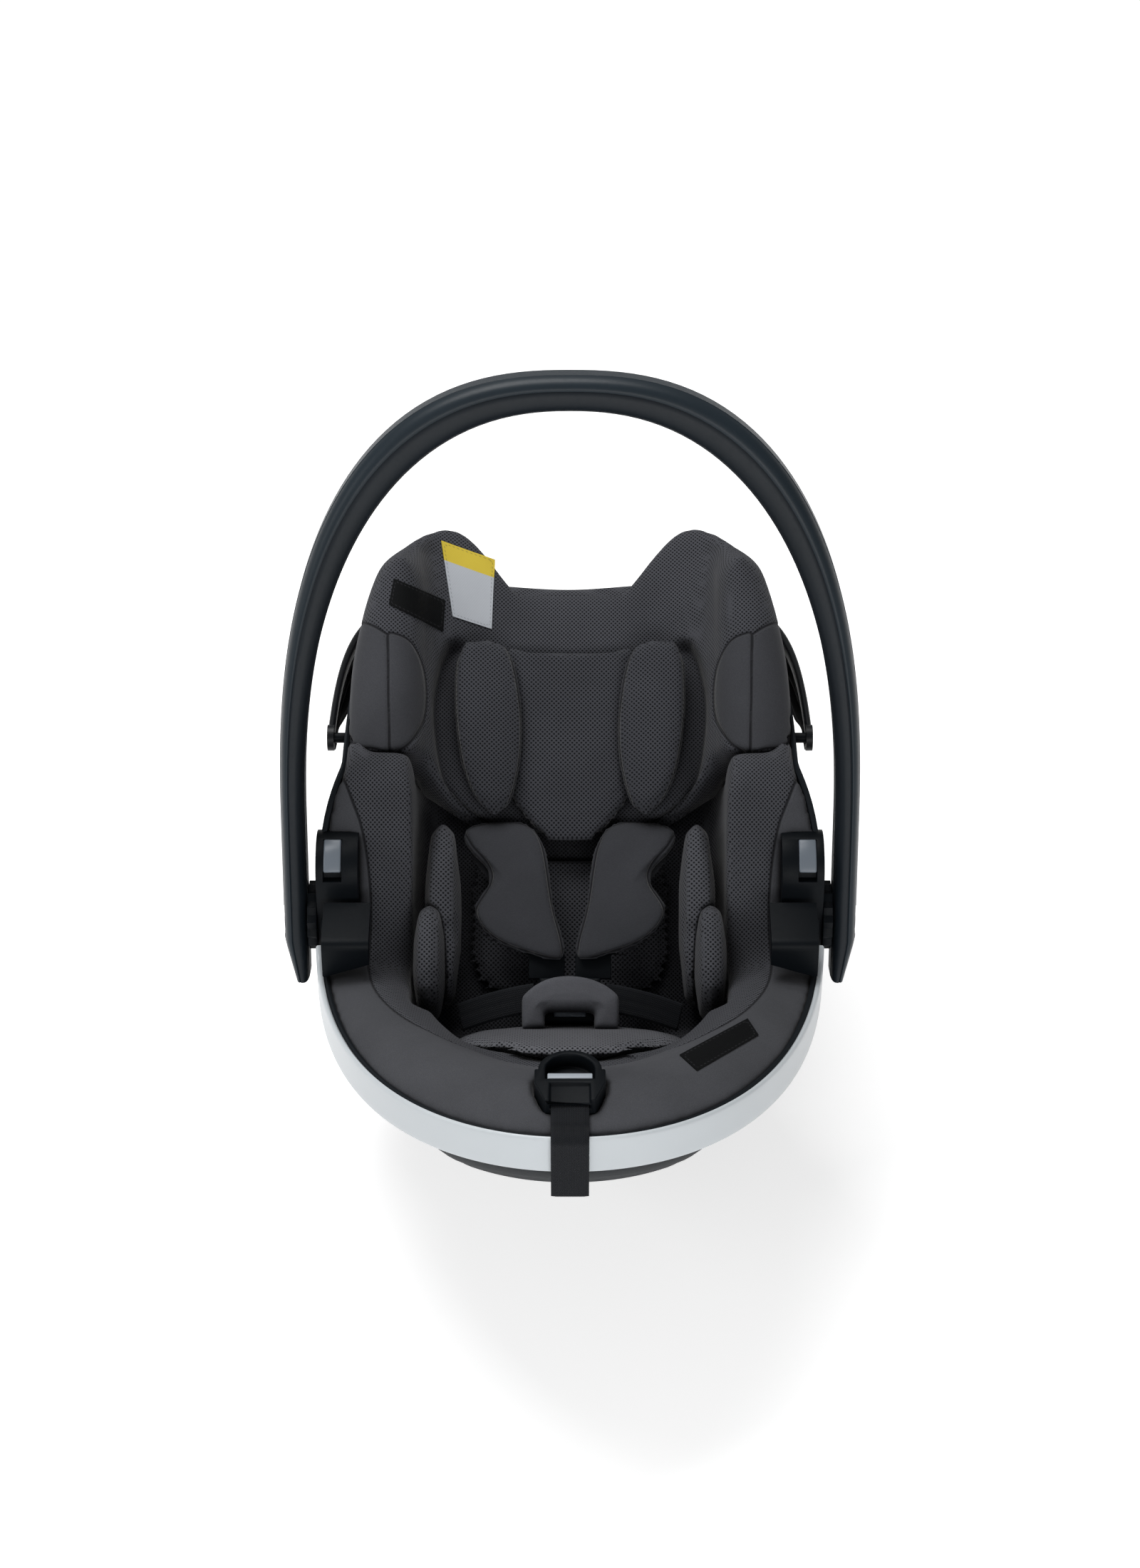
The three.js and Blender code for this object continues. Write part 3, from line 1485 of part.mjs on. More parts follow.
for (const [side, word] of sides) {
  const flip = (geometry) => (side > 0 ? geometry : mirrored(geometry));
  const pad = subtract(
    flip(pillow(padOutline, padHalfThickness, padSides, padLayers).applyMatrix4(padLean)),
    huggerFat,
    headrestFat,
    ...bolsterFats,
  );
  piece(`shoulder_pad_${word}`, pad, finishes.pad, back);
  const tongue = flip(box(
    new THREE.Vector3(tongueInnerX, buckleTop + fitGap, tongueHeight - tongueThickness / 2),
    new THREE.Vector3(tongueOuterX, tongueTop, tongueHeight + tongueThickness / 2),
  ));
  piece(`buckle_tongue_${word}`, tongue, finishes.trim, back);
  const tongueFat = grown(tongue, 2 * fitGap);
  const strap = subtract(
    flip(ribbon(shoulderRoute, webbingWidth, webbingThickness, axisX, shoulderStrapSteps)),
    insertFat,
    headrestFat,
    tongueFat,
  );
  piece(`shoulder_strap_${word}`, strap, finishes.webbing, back);
  const backing = pillow(padOutline, backingHalfThickness, padSides, thinPadLayers)
    .translate(backingShiftX, backingShiftS, -backingDrop)
    .applyMatrix4(padLean);
  const backingCutters = [pad, strap].map((geometry) => grown(geometry, fitGap));
  piece(
    `shoulder_pad_backing_${word}`,
    subtract(flip(backing), ...backingCutters, tongueFat, buckleFat, huggerFat, headrestFat, ...bolsterFats),
    finishes.pad,
    back,
  );
  const lapStrap = flip(ribbon(lapRoute, lapStrapWidth, webbingThickness, alongS, lapStrapSteps));
  piece(`lap_strap_${word}`, subtract(lapStrap, ...bolsterFats), finishes.webbing, back);
}

const cushionOutline = Array.from({ length: cushionPoints }, (_, i) => {
  const angle = 2 * Math.PI * i / cushionPoints;
  const radius = polarRadius(angle, cushionHalfWidth, cushionHalfLength, cushionRoundness);
  return [radius * Math.cos(angle), radius * Math.sin(angle)];
});
const cushion = pillow(cushionOutline, cushionHalfThickness, padSides, padLayers);
cushion.rotateX(-degrees(cushionTilt)).translate(0, cushionY, cushionHeight);
const crotchStrap = subtract(
  ribbon(crotchRoute, webbingWidth, webbingThickness, axisX, crotchStrapSteps),
  coverFat,
);
piece('crotch_strap', crotchStrap, finishes.webbing, back);
const backFats = [buckleBody, buckleCover, crotchStrap].map((geometry) => inBack(grown(geometry, fitGap)));
const seatCushion = subtract(
  cushion,
  fillingFat,
  moved(adjusterBlock(fitGap), adjusterMatrix()),
  inBack(insertFat),
  ...backFats,
  ...bolsterFats.map(inBack),
);
piece('insert_seat_cushion', seatCushion, finishes.mesh);

// Canopy, folded round the head end

function canopySweep(section) {
  const start = Math.atan2(canopyHingeY, headHalfWidth - bowOuterInset);
  const between = rimStations.filter((angle) => angle > start && angle < Math.PI - start);
  const rings = [];
  for (const angle of [start, ...between, Math.PI - start]) {
    const x = rimPoint(angle, bowOuterInset).x;
    const top = bowTopHeight - bowDip * (1 - (x / (headHalfWidth - bowOuterInset)) ** 2);
    rings.push(section.map(([inset, drop]) => {
      const place = rimPoint(angle, inset);
      return new THREE.Vector3(place.x, place.y, top - drop);
    }));
  }
  return loft(rings);
}

const bowInnerInset = bowOuterInset + bowThickness;
const bowSoft = bowThickness / 3;
let canopyBow = canopySweep([
  [bowInnerInset, bowSoft],
  [bowInnerInset - bowSoft, 0],
  [bowOuterInset + bowSoft, 0],
  [bowOuterInset, bowSoft],
  [bowOuterInset, bowHeight - bowSoft],
  [bowOuterInset + bowSoft, bowHeight],
  [bowInnerInset - bowSoft, bowHeight],
  [bowInnerInset, bowHeight - bowSoft],
]);
const bossInner = headHalfWidth - bowInnerInset;
const bossOuter = headHalfWidth - bowOuterInset;
const pinFats = [];
for (const [side, word] of sides) {
  const boss = crossPin(side, bowBossRadius, bossInner, bossOuter, canopyHingeY, canopyHingeHeight, 20);
  const bore = crossPin(
    side,
    bowPinRadius + fitGap,
    bossInner - cutOverrun,
    bossOuter + cutOverrun,
    canopyHingeY,
    canopyHingeHeight,
    16,
  );
  canopyBow = subtract(union(canopyBow, boss), bore);
  const pin = subtract(
    crossPin(side, bowPinRadius, bossInner - 4 * cutOverrun, bossOuter, canopyHingeY, canopyHingeHeight, 16),
    grown(hullSolid, fitGap),
  );
  piece(`canopy_pin_${word}`, pin, finishes.steel);
  pinFats.push(grown(pin, 2 * fitGap));
}
piece('canopy_bow', canopyBow, finishes.trim);

const rollOuter = bowInnerInset + fitGap;
const canopyRoll = canopySweep([
  [canopyRollInset, fitGap],
  [rollOuter, fitGap],
  [rollOuter, bowHeight + fitGap],
  [bowOuterInset, bowHeight + 2 * bowSoft],
  [bowOuterInset, canopyRollHeight - bowSoft],
  [rollOuter, canopyRollHeight],
  [canopyRollInset, canopyRollHeight],
]);
piece('canopy_fabric', subtract(
  canopyRoll,
  grown(hullSolid, fitGap),
  grown(canopyBow, fitGap),
  ...pinFats,
), finishes.cover);

export default carrier;
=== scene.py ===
"""Infant carrier, dressed for the photograph: shell, handle, harness, headrest, insert and canopy.

Lengths inside the builders are millimetres in the row frame and become metres at the mesh.
X right, Y towards the head end, Z up, seen from the foot end.
"""

import json
import math

import bmesh
import bpy
import numpy as np
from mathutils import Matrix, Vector, noise
from mathutils.bvhtree import BVHTree

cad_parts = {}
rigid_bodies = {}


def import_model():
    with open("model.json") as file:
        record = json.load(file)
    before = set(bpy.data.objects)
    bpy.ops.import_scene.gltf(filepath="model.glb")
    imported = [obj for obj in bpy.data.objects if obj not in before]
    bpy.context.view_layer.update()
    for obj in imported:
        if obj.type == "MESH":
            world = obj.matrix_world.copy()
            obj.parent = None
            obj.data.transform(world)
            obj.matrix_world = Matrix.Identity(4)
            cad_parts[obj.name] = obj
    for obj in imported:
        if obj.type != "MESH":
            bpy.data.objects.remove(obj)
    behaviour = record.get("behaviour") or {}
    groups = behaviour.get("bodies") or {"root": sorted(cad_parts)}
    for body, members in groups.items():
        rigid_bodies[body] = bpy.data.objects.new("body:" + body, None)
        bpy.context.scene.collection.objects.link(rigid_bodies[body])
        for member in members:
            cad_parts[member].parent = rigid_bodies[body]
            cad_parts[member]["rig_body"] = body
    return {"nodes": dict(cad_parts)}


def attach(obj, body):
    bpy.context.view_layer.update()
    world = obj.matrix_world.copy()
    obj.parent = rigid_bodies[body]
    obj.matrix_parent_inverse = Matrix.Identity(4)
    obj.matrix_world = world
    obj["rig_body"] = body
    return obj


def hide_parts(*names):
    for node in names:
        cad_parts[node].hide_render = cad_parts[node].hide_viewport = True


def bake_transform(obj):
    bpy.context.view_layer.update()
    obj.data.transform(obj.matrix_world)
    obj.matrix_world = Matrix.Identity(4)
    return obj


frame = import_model()
for name in ("Cube", "Light", "Camera"):
    if name in bpy.data.objects:
        bpy.data.objects.remove(bpy.data.objects[name])
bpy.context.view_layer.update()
NODES = frame["nodes"]

MM = 0.001
SIDES = ((-1, "left"), (1, "right"))


# ---------------------------------------------------------------- camera

ELEVATION = math.radians(38)
DISTANCE = 2.4
TARGET = Vector((0, 0, 0.3196))

camera = bpy.data.objects.new("camera", bpy.data.cameras.new("camera"))
bpy.context.scene.collection.objects.link(camera)
camera.data.lens = 74.45
camera.data.sensor_width = 36
camera.location = TARGET + DISTANCE * Vector((0, -math.cos(ELEVATION), math.sin(ELEVATION)))
camera.rotation_euler = (math.pi / 2 - ELEVATION, 0, 0)
bpy.context.scene.camera = camera


# ---------------------------------------------------------------- small tools

def lerp(a, b, share):
    return a + (b - a) * share


def smoothstep(low, high, value):
    share = np.clip((np.asarray(value, float) - low) / (high - low), 0, 1)
    return share * share * (3 - 2 * share)


def polar(angle, half_x, half_y, power):
    along = np.abs(np.cos(angle)) / half_x
    across = np.abs(np.sin(angle)) / half_y
    return (along ** power + across ** power) ** (-1 / power)


RECLINE = math.radians(36)
BACK_ORIGIN = np.array([0.0, -50.0, 115.0])
BACK_AXES = np.array([
    [1, 0, 0],
    [0, math.cos(RECLINE), math.sin(RECLINE)],
    [0, -math.sin(RECLINE), math.cos(RECLINE)],
])


def from_back(points):
    return np.asarray(points, float) @ BACK_AXES + BACK_ORIGIN


def to_back(points):
    return (np.asarray(points, float) - BACK_ORIGIN) @ BACK_AXES.T


def places(obj):
    co = np.empty(len(obj.data.vertices) * 3)
    obj.data.vertices.foreach_get("co", co)
    return co.reshape(-1, 3) / MM


def put(obj, points):
    obj.data.vertices.foreach_set("co", (np.asarray(points, float) * MM).ravel())
    obj.data.update()


def normals(obj):
    out = np.empty(len(obj.data.vertices) * 3)
    obj.data.vertices.foreach_get("normal", out)
    return out.reshape(-1, 3)


def outward(mesh):
    bm = bmesh.new()
    bm.from_mesh(mesh)
    bmesh.ops.recalc_face_normals(bm, faces=bm.faces)
    bm.to_mesh(mesh)
    bm.free()


def make(name, points, faces):
    mesh = bpy.data.meshes.new(name)
    mesh.from_pydata((np.asarray(points, float) * MM).tolist(), [], [tuple(f) for f in faces])
    mesh.validate()
    outward(mesh)
    obj = bpy.data.objects.new(name, mesh)
    bpy.context.scene.collection.objects.link(obj)
    mesh.polygons.foreach_set("use_smooth", [True] * len(mesh.polygons))
    return obj


def loft(rings):
    """Points and faces of a closed surface through rings of equal length."""
    count = len(rings[0])
    points = [p for ring in rings for p in ring]
    faces = []
    for r in range(len(rings) - 1):
        for i in range(count):
            a, b = r * count + i, r * count + (i + 1) % count
            faces.append((a, b, b + count, a + count))
    faces.append(tuple(range(count)))
    faces.append(tuple(range((len(rings) - 1) * count, len(rings) * count)))
    return points, faces


def apply_modifiers(obj):
    graph = bpy.context.evaluated_depsgraph_get()
    mesh = bpy.data.meshes.new_from_object(obj.evaluated_get(graph))
    obj.modifiers.clear()
    old = obj.data
    obj.data = mesh
    bpy.data.meshes.remove(old)
    return obj


def modify(obj, kind, **settings):
    modifier = obj.modifiers.new(kind.lower(), kind)
    for key, value in settings.items():
        setattr(modifier, key, value)
    return apply_modifiers(obj)


def shade(obj, angle=None):
    obj.data.polygons.foreach_set("use_smooth", [True] * len(obj.data.polygons))
    if angle is not None:
        bm = bmesh.new()
        bm.from_mesh(obj.data)
        for edge in bm.edges:
            if len(edge.link_faces) == 2:
                edge.smooth = edge.calc_face_angle(0) < math.radians(angle)
        bm.to_mesh(obj.data)
        bm.free()
    obj.data.update()
    return obj


def cut(obj, *cutters):
    for cutter in cutters:
        modify(obj, "BOOLEAN", operation="DIFFERENCE", solver="EXACT", object=cutter)
        bpy.data.objects.remove(cutter)
    return obj


def bare(node, name):
    """A new object with a CAD node's solid, its corners merged and flat faces joined."""
    mesh = NODES[node].data.copy()
    mesh.name = name
    bm = bmesh.new()
    bm.from_mesh(mesh)
    bmesh.ops.remove_doubles(bm, verts=bm.verts, dist=0.01 * MM)
    bmesh.ops.dissolve_limit(bm, angle_limit=math.radians(1), verts=bm.verts, edges=bm.edges)
    bm.to_mesh(mesh)
    bm.free()
    mesh.materials.clear()
    obj = bpy.data.objects.new(name, mesh)
    bpy.context.scene.collection.objects.link(obj)
    return obj


def dress(obj, material, body, *nodes, slot=None):
    """The piece gets its material, rides on its body and stands for CAD nodes."""
    obj.data.materials.clear()
    obj.data.materials.append(material)
    if body:
        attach(obj, body)
    if nodes:
        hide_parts(*nodes)
    return obj


def rounded(node, material, width, segments=3):
    """The CAD solid with its edges rounded, in place of the plain one."""
    obj = bare(node, node + "_rounded")
    modify(obj, "BEVEL", width=width * MM, segments=segments, limit_method="ANGLE",
           angle_limit=math.radians(30), harden_normals=False, use_clamp_overlap=True)
    shade(obj, 40)
    return dress(obj, material, NODES[node]["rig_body"], node)


def wander(points, size, seed):
    """A slow, smooth, repeatable random height at each point."""
    shift = Vector((seed * 17.3, seed * 5.1, seed * 9.7))
    return np.array([noise.noise(Vector(p) / size + shift) for p in points])


def relax(obj, rounds):
    bm = bmesh.new()
    bm.from_mesh(obj.data)
    for _ in range(rounds):
        bmesh.ops.smooth_vert(bm, verts=bm.verts, factor=0.5, use_axis_x=True,
                              use_axis_y=True, use_axis_z=True)
    bm.to_mesh(obj.data)
    bm.free()
    obj.data.update()
    return obj


PUFF_PRESSURE = 4.0
PUFF_FRAMES = 20


def swell(obj, cap):
    """Inflates the piece as cloth under pressure; no point moves further than the cap."""
    start = places(obj)
    cloth = obj.modifiers.new("cloth", "CLOTH")
    settings = cloth.settings
    settings.use_pressure = True
    settings.uniform_pressure_force = PUFF_PRESSURE
    settings.effector_weights.gravity = 0
    settings.quality = 6
    settings.mass = 0.3
    settings.tension_stiffness = 25
    settings.compression_stiffness = 25
    settings.bending_stiffness = 0.6
    cloth.collision_settings.use_collision = False
    cloth.point_cache.frame_start = 1
    cloth.point_cache.frame_end = PUFF_FRAMES
    for number in range(1, PUFF_FRAMES + 1):
        bpy.context.scene.frame_set(number)
    apply_modifiers(obj)
    bpy.context.scene.frame_set(1)
    end = places(obj)
    move = end - start
    far = np.linalg.norm(move, axis=1, keepdims=True)
    put(obj, start + move * np.minimum(1, cap / np.maximum(far, 1e-6)))
    return obj


def catmull(points, count, closed):
    """Points on a smooth curve through a few points."""
    points = np.asarray(points, float)
    n = len(points)
    spans = n if closed else n - 1
    fine = []
    for k in range(spans):
        if closed:
            p = [points[(k + j) % n] for j in (-1, 0, 1, 2)]
        else:
            p = [points[min(max(k + j, 0), n - 1)] for j in (-1, 0, 1, 2)]
        for t in np.arange(0, 1, 1 / 16):
            fine.append(0.5 * (2 * p[1] + (p[2] - p[0]) * t
                               + (2 * p[0] - 5 * p[1] + 4 * p[2] - p[3]) * t * t
                               + (3 * p[1] - p[0] - 3 * p[2] + p[3]) * t ** 3))
    fine.append(points[0] if closed else points[-1])
    fine = np.array(fine)
    run = np.concatenate([[0], np.cumsum(np.linalg.norm(np.diff(fine, axis=0), axis=1))])
    wanted = np.linspace(0, run[-1], count + 1 if closed else count)
    out = np.stack([np.interp(wanted, run, fine[:, i]) for i in range(fine.shape[1])], axis=1)
    return out[:-1] if closed else out


# ---------------------------------------------------------------- materials

def colour(r, g, b):
    """Linear colour of one written as 0-255 in sRGB."""
    def linear(value):
        value /= 255
        return value / 12.92 if value <= 0.04045 else ((value + 0.055) / 1.055) ** 2.4
    return (linear(r), linear(g), linear(b), 1)


# Painted shade in the fabric: how far the ambient occlusion reaches, and the darkest share of the
# colour it leaves.
PAINTED_SHADE_REACH, PAINTED_SHADE_DARKEST = 45, 0.18


class Tree:
    """A short way to write a node graph."""

    def __init__(self, name):
        self.material = bpy.data.materials.new(name)
        self.material.use_nodes = True
        self.nodes = self.material.node_tree.nodes
        self.links = self.material.node_tree.links
        self.shader = self.nodes["Principled BSDF"]

    def add(self, kind, *inputs, out=0, **properties):
        node = self.nodes.new("ShaderNode" + kind)
        for key, value in properties.items():
            setattr(node, key, value)
        for i, value in enumerate(inputs):
            self.feed(node.inputs[i], value)
        return node.outputs[out]

    def feed(self, socket, value):
        if value is None:
            return
        if isinstance(value, bpy.types.NodeSocket):
            self.links.new(value, socket)
        else:
            socket.default_value = value

    def math(self, operation, *inputs, clamp=False):
        return self.add("Math", *inputs, operation=operation, use_clamp=clamp)

    def mix(self, factor, a, b, blend="MIX"):
        node = self.nodes.new("ShaderNodeMix")
        node.data_type = "RGBA"
        node.blend_type = blend
        for socket, value in zip((node.inputs[0], node.inputs[6], node.inputs[7]), (factor, a, b)):
            self.feed(socket, value)
        return node.outputs[2]

    def ramp(self, value, low, high, to_low=0.0, to_high=1.0):
        node = self.nodes.new("ShaderNodeMapRange")
        node.interpolation_type = "SMOOTHSTEP"
        for i, v in enumerate((value, low, high, to_low, to_high)):
            self.feed(node.inputs[i], v)
        return node.outputs[0]

    def noise(self, vector, scale, detail=2.0):
        node = self.nodes.new("ShaderNodeTexNoise")
        self.feed(node.inputs["Vector"], vector)
        node.inputs["Scale"].default_value = scale
        node.inputs["Detail"].default_value = detail
        return node.outputs[0]

    def bump(self, height, distance, strength):
        node = self.nodes.new("ShaderNodeBump")
        node.inputs["Strength"].default_value = strength
        node.inputs["Distance"].default_value = distance * MM
        self.feed(node.inputs["Height"], height)
        return node.outputs[0]

    def hollow(self):
        """Painted shade: darker where other surfaces close in within the reach, as in recesses and
        between parts.
        """
        node = self.nodes.new("ShaderNodeAmbientOcclusion")
        node.samples = 8
        node.inputs["Distance"].default_value = PAINTED_SHADE_REACH * MM
        return self.ramp(node.outputs["AO"], 0.15, 0.85, PAINTED_SHADE_DARKEST, 1.0)

    def place(self, turn=0.0):
        """Object place in millimetres, turned about X into the backrest frame where asked."""
        place = self.nodes.new("ShaderNodeTexCoord").outputs["Object"]
        return self.add("Mapping", place, None, (turn, 0, 0), (1000, 1000, 1000))

    def lattice(self, vector, period):
        """A diamond lattice of the period in the backrest frame, on whichever way a face looks."""
        facing = self.nodes.new("ShaderNodeTexCoord").outputs["Normal"]
        facing = self.add("Mapping", facing, None, (-RECLINE, 0, 0), vector_type="VECTOR")
        k = 2 * math.pi / (period * math.sqrt(2))
        axes = self.nodes.new("ShaderNodeSeparateXYZ")
        self.feed(axes.inputs[0], vector)
        waves = [self.math("COSINE", self.math("MULTIPLY", axis, k)) for axis in axes.outputs]
        split = self.nodes.new("ShaderNodeSeparateXYZ")
        self.feed(split.inputs[0], facing)
        weights = [self.math("POWER", self.math("ABSOLUTE", axis), 4.0) for axis in split.outputs]
        total = self.math("ADD", self.math("ADD", weights[0], weights[1]), weights[2])
        parts = [
            self.math("MULTIPLY", weights[i], self.math("MULTIPLY", waves[a], waves[b]))
            for i, (a, b) in enumerate([(1, 2), (2, 0), (0, 1)])
        ]
        summed = self.math("ADD", self.math("ADD", parts[0], parts[1]), parts[2])
        return self.math("DIVIDE", summed, total)

    def finish(self, base, roughness, normal=None, **sockets):
        self.feed(self.shader.inputs["Base Color"], base)
        self.feed(self.shader.inputs["Roughness"], roughness)
        self.feed(self.shader.inputs["Normal"], normal)
        for key, value in sockets.items():
            title = key.replace("_", " ").title().replace("Ior", "IOR")
            self.shader.inputs[title].default_value = value
        return self.material


def fabric(name, yarn, hole, plain, period=2.3):
    """Upholstery: knitted spacer mesh where the zone is above 0, fine plain weave below it.

    The mesh attribute "seam" holds the signed distance to the nearest seam, the way along it,
    and the zone, in millimetres.
    """
    t = Tree(name)
    parts = t.nodes.new("ShaderNodeSeparateXYZ")
    t.feed(parts.inputs[0], t.add("Attribute", attribute_name="seam", out=1))
    distance, along, zone = parts.outputs
    distance = t.math("ABSOLUTE", distance)
    vector = t.place(-RECLINE)
    open_share = t.ramp(zone, -0.4, 0.4)
    lattice = t.lattice(vector, period)
    pit = t.ramp(lattice, -0.15, 0.75)
    knit = t.mix(pit, yarn, hole)
    thread = t.lattice(vector, 0.8)
    fleck = t.noise(vector, 1.1, 3)
    slub = t.ramp(t.math("ADD", t.math("MULTIPLY", thread, 0.25), fleck), 0.2, 0.9, 0.84, 1.16)
    weave = t.mix(1.0, plain, slub, "MULTIPLY")
    base = t.mix(open_share, weave, knit)
    cloud = t.ramp(t.noise(vector, 0.018, 3), 0.3, 0.7, 0.93, 1.06)
    base = t.mix(1.0, base, cloud, "MULTIPLY")
    # Painted shade: ambient occlusion darkens the colour in recesses and between parts.
    base = t.mix(1.0, base, t.hollow(), "MULTIPLY")
    groove = t.ramp(distance, 0.35, 1.3, 1.0, 0.0)
    stitch_side = t.math("ABSOLUTE", t.math("SUBTRACT", distance, 2.4))
    dash = t.ramp(t.math("SINE", t.math("MULTIPLY", along, 2 * math.pi / 4.2)), -0.35, 0.1)
    stitch = t.math("MULTIPLY", t.ramp(stitch_side, 0.2, 0.5, 1.0, 0.0), dash)
    base = t.mix(t.math("MULTIPLY", groove, 0.75), base, (0.003, 0.003, 0.004, 1))
    base = t.mix(t.math("MULTIPLY", stitch, 0.25), base, plain)
    height = t.math("ADD", t.math("MULTIPLY", t.math("MULTIPLY", pit, open_share), -0.6),
                    t.math("MULTIPLY", thread, 0.06))
    height = t.math("ADD", height, t.math("MULTIPLY", groove, -1.3))
    height = t.math("ADD", height, t.math("MULTIPLY", stitch, 0.3))
    normal = t.bump(height, 0.7, 0.8)
    rough = t.ramp(fleck, 0.2, 0.8, 0.82, 0.97)
    return t.finish(base, rough, normal, sheen_weight=0.12, sheen_roughness=0.4,
                    specular_ior_level=0.12)


def plastic(name, base, rough, grain=0.35, wear=0.25, coat=0.0, clouds=0.05, shine=0.3):
    """Moulded plastic: fine erosion grain, faint flow clouds, edges rubbed a little lighter."""
    t = Tree(name)
    vector = t.place()
    cloud = t.ramp(t.noise(vector, 0.012, 3), 0.3, 0.7, 1 - clouds, 1 + clouds)
    tinted = t.mix(1.0, base, cloud, "MULTIPLY")
    pointy = t.nodes.new("ShaderNodeNewGeometry").outputs["Pointiness"]
    scuffs = t.ramp(t.noise(vector, 0.35, 4), 0.45, 0.75)
    edge = t.math("MULTIPLY", t.ramp(pointy, 0.54, 0.66), wear)
    lighter = tuple(min(1, c * 1.9 + 0.02) for c in base[:3]) + (1,)
    tinted = t.mix(t.math("MULTIPLY", edge, t.math("ADD", 0.5, scuffs)), tinted, lighter)
    spots = t.noise(vector, 3.2, 2)
    normal = t.bump(spots, 0.12, grain)
    roughness = t.math("ADD", t.ramp(spots, 0.2, 0.8, rough - 0.05, rough + 0.05),
                       t.math("MULTIPLY", scuffs, 0.05))
    return t.finish(tinted, roughness, normal, coat_weight=coat, coat_roughness=0.25,
                    specular_ior_level=shine)


def webbing(name, base):
    """Woven belt: ribs across, a flat selvedge at each side; "strap" holds across and along."""
    t = Tree(name)
    parts = t.nodes.new("ShaderNodeSeparateXYZ")
    t.feed(parts.inputs[0], t.add("Attribute", attribute_name="strap", out=1))
    across, along, edge = parts.outputs
    chevron = t.math("ADD", along, t.math("PINGPONG", across, 3.2))
    rib = t.math("SINE", t.math("MULTIPLY", chevron, 2 * math.pi / 1.5))
    cord = t.math("SINE", t.math("MULTIPLY", across, 2 * math.pi / 1.6))
    selvedge = t.ramp(edge, 1.4, 1.9, 1.0, 0.0)
    weave = t.math("ADD", t.math("MULTIPLY", rib, 0.6), t.math("MULTIPLY", cord, 0.4))
    shadow = t.ramp(weave, -1.0, 1.0, 0.72, 1.22)
    tinted = t.mix(1.0, base, shadow, "MULTIPLY")
    lighter = tuple(min(1, c * 1.35) for c in base[:3]) + (1,)
    tinted = t.mix(t.math("MULTIPLY", selvedge, 0.6), tinted, lighter)
    fuzz = t.noise(t.place(), 1.4, 3)
    tinted = t.mix(1.0, tinted, t.ramp(fuzz, 0.25, 0.75, 0.9, 1.1), "MULTIPLY")
    normal = t.bump(t.math("ADD", weave, t.math("MULTIPLY", selvedge, 0.8)), 0.22, 0.8)
    return t.finish(tinted, t.ramp(fuzz, 0.2, 0.8, 0.6, 0.78), normal, sheen_weight=0.03,
                    specular_ior_level=0.15)


def metal(name, base, rough):
    t = Tree(name)
    vector = t.place()
    streak = t.noise(t.add("Mapping", vector, None, None, (0.05, 2.0, 2.0)), 1.0, 3)
    tinted = t.mix(1.0, base, t.ramp(streak, 0.3, 0.7, 0.88, 1.08), "MULTIPLY")
    return t.finish(tinted, t.ramp(streak, 0.2, 0.8, rough - 0.06, rough + 0.08),
                    t.bump(streak, 0.05, 0.4), metallic=1.0)


def beads(name, base):
    """Expanded foam: packed beads with fine creases between them."""
    t = Tree(name)
    vector = t.place()
    cells = t.nodes.new("ShaderNodeTexVoronoi")
    cells.feature = "DISTANCE_TO_EDGE"
    t.feed(cells.inputs["Vector"], vector)
    cells.inputs["Scale"].default_value = 0.3
    crease = t.ramp(cells.outputs[0], 0.0, 0.12)
    tinted = t.mix(crease, tuple(c * 0.72 for c in base[:3]) + (1,), base)
    return t.finish(tinted, t.ramp(crease, 0.0, 1.0, 0.9, 0.75), t.bump(crease, 0.4, 0.7))


def label_cloth(name, base, band=None, band_from=0.0):
    """A blank woven tag: fine ribs, a stitched edge; "strap" holds across and along."""
    t = Tree(name)
    parts = t.nodes.new("ShaderNodeSeparateXYZ")
    t.feed(parts.inputs[0], t.add("Attribute", attribute_name="strap", out=1))
    across, along, edge = parts.outputs
    rib = t.math("SINE", t.math("MULTIPLY", along, 2 * math.pi / 0.7))
    tint = t.mix(1.0, base, t.ramp(rib, -1.0, 1.0, 0.86, 1.1), "MULTIPLY")
    if band:
        tint = t.mix(t.ramp(along, band_from - 0.2, band_from + 0.2), tint, band)
    stitch_side = t.math("ABSOLUTE", t.math("SUBTRACT", edge, 1.6))
    dash = t.ramp(t.math("SINE", t.math("MULTIPLY", t.math("ADD", across, along), 2.1)), -0.2, 0.2)
    stitch = t.math("MULTIPLY", t.ramp(stitch_side, 0.2, 0.5, 1.0, 0.0), dash)
    tint = t.mix(t.math("MULTIPLY", stitch, 0.4), tint, (0.05, 0.05, 0.055, 1))
    return t.finish(tint, t.ramp(rib, -1.0, 1.0, 0.7, 0.85), t.bump(rib, 0.1, 0.6),
                    specular_ior_level=0.1)


cover_cloth = fabric("cover_cloth", colour(80, 81, 86), colour(23, 24, 27), colour(76, 77, 81))
wing_cloth = fabric("wing_cloth", colour(74, 75, 80), colour(22, 23, 26), colour(66, 67, 71))
insert_cloth = fabric("insert_cloth", colour(82, 83, 88), colour(20, 21, 24), colour(60, 61, 65),
                      2.6)
cushion_cloth = fabric("cushion_cloth", colour(108, 109, 114), colour(26, 27, 30),
                       colour(64, 65, 69), 2.6)
hugger_cloth = fabric("hugger_cloth", colour(68, 69, 74), colour(19, 20, 23), colour(46, 47, 51), 2.5)
pad_cloth = fabric("pad_cloth", colour(60, 61, 65), colour(40, 41, 44), colour(60, 61, 65))
buckle_cloth = fabric("buckle_cloth", colour(92, 93, 98), colour(60, 61, 65), colour(92, 93, 98))
canopy_cloth = fabric("canopy_cloth", colour(20, 21, 24), colour(15, 16, 18), colour(20, 21, 24))
shell_plastic = plastic("shell_plastic", colour(26, 30, 34), 0.6, shine=0.12)
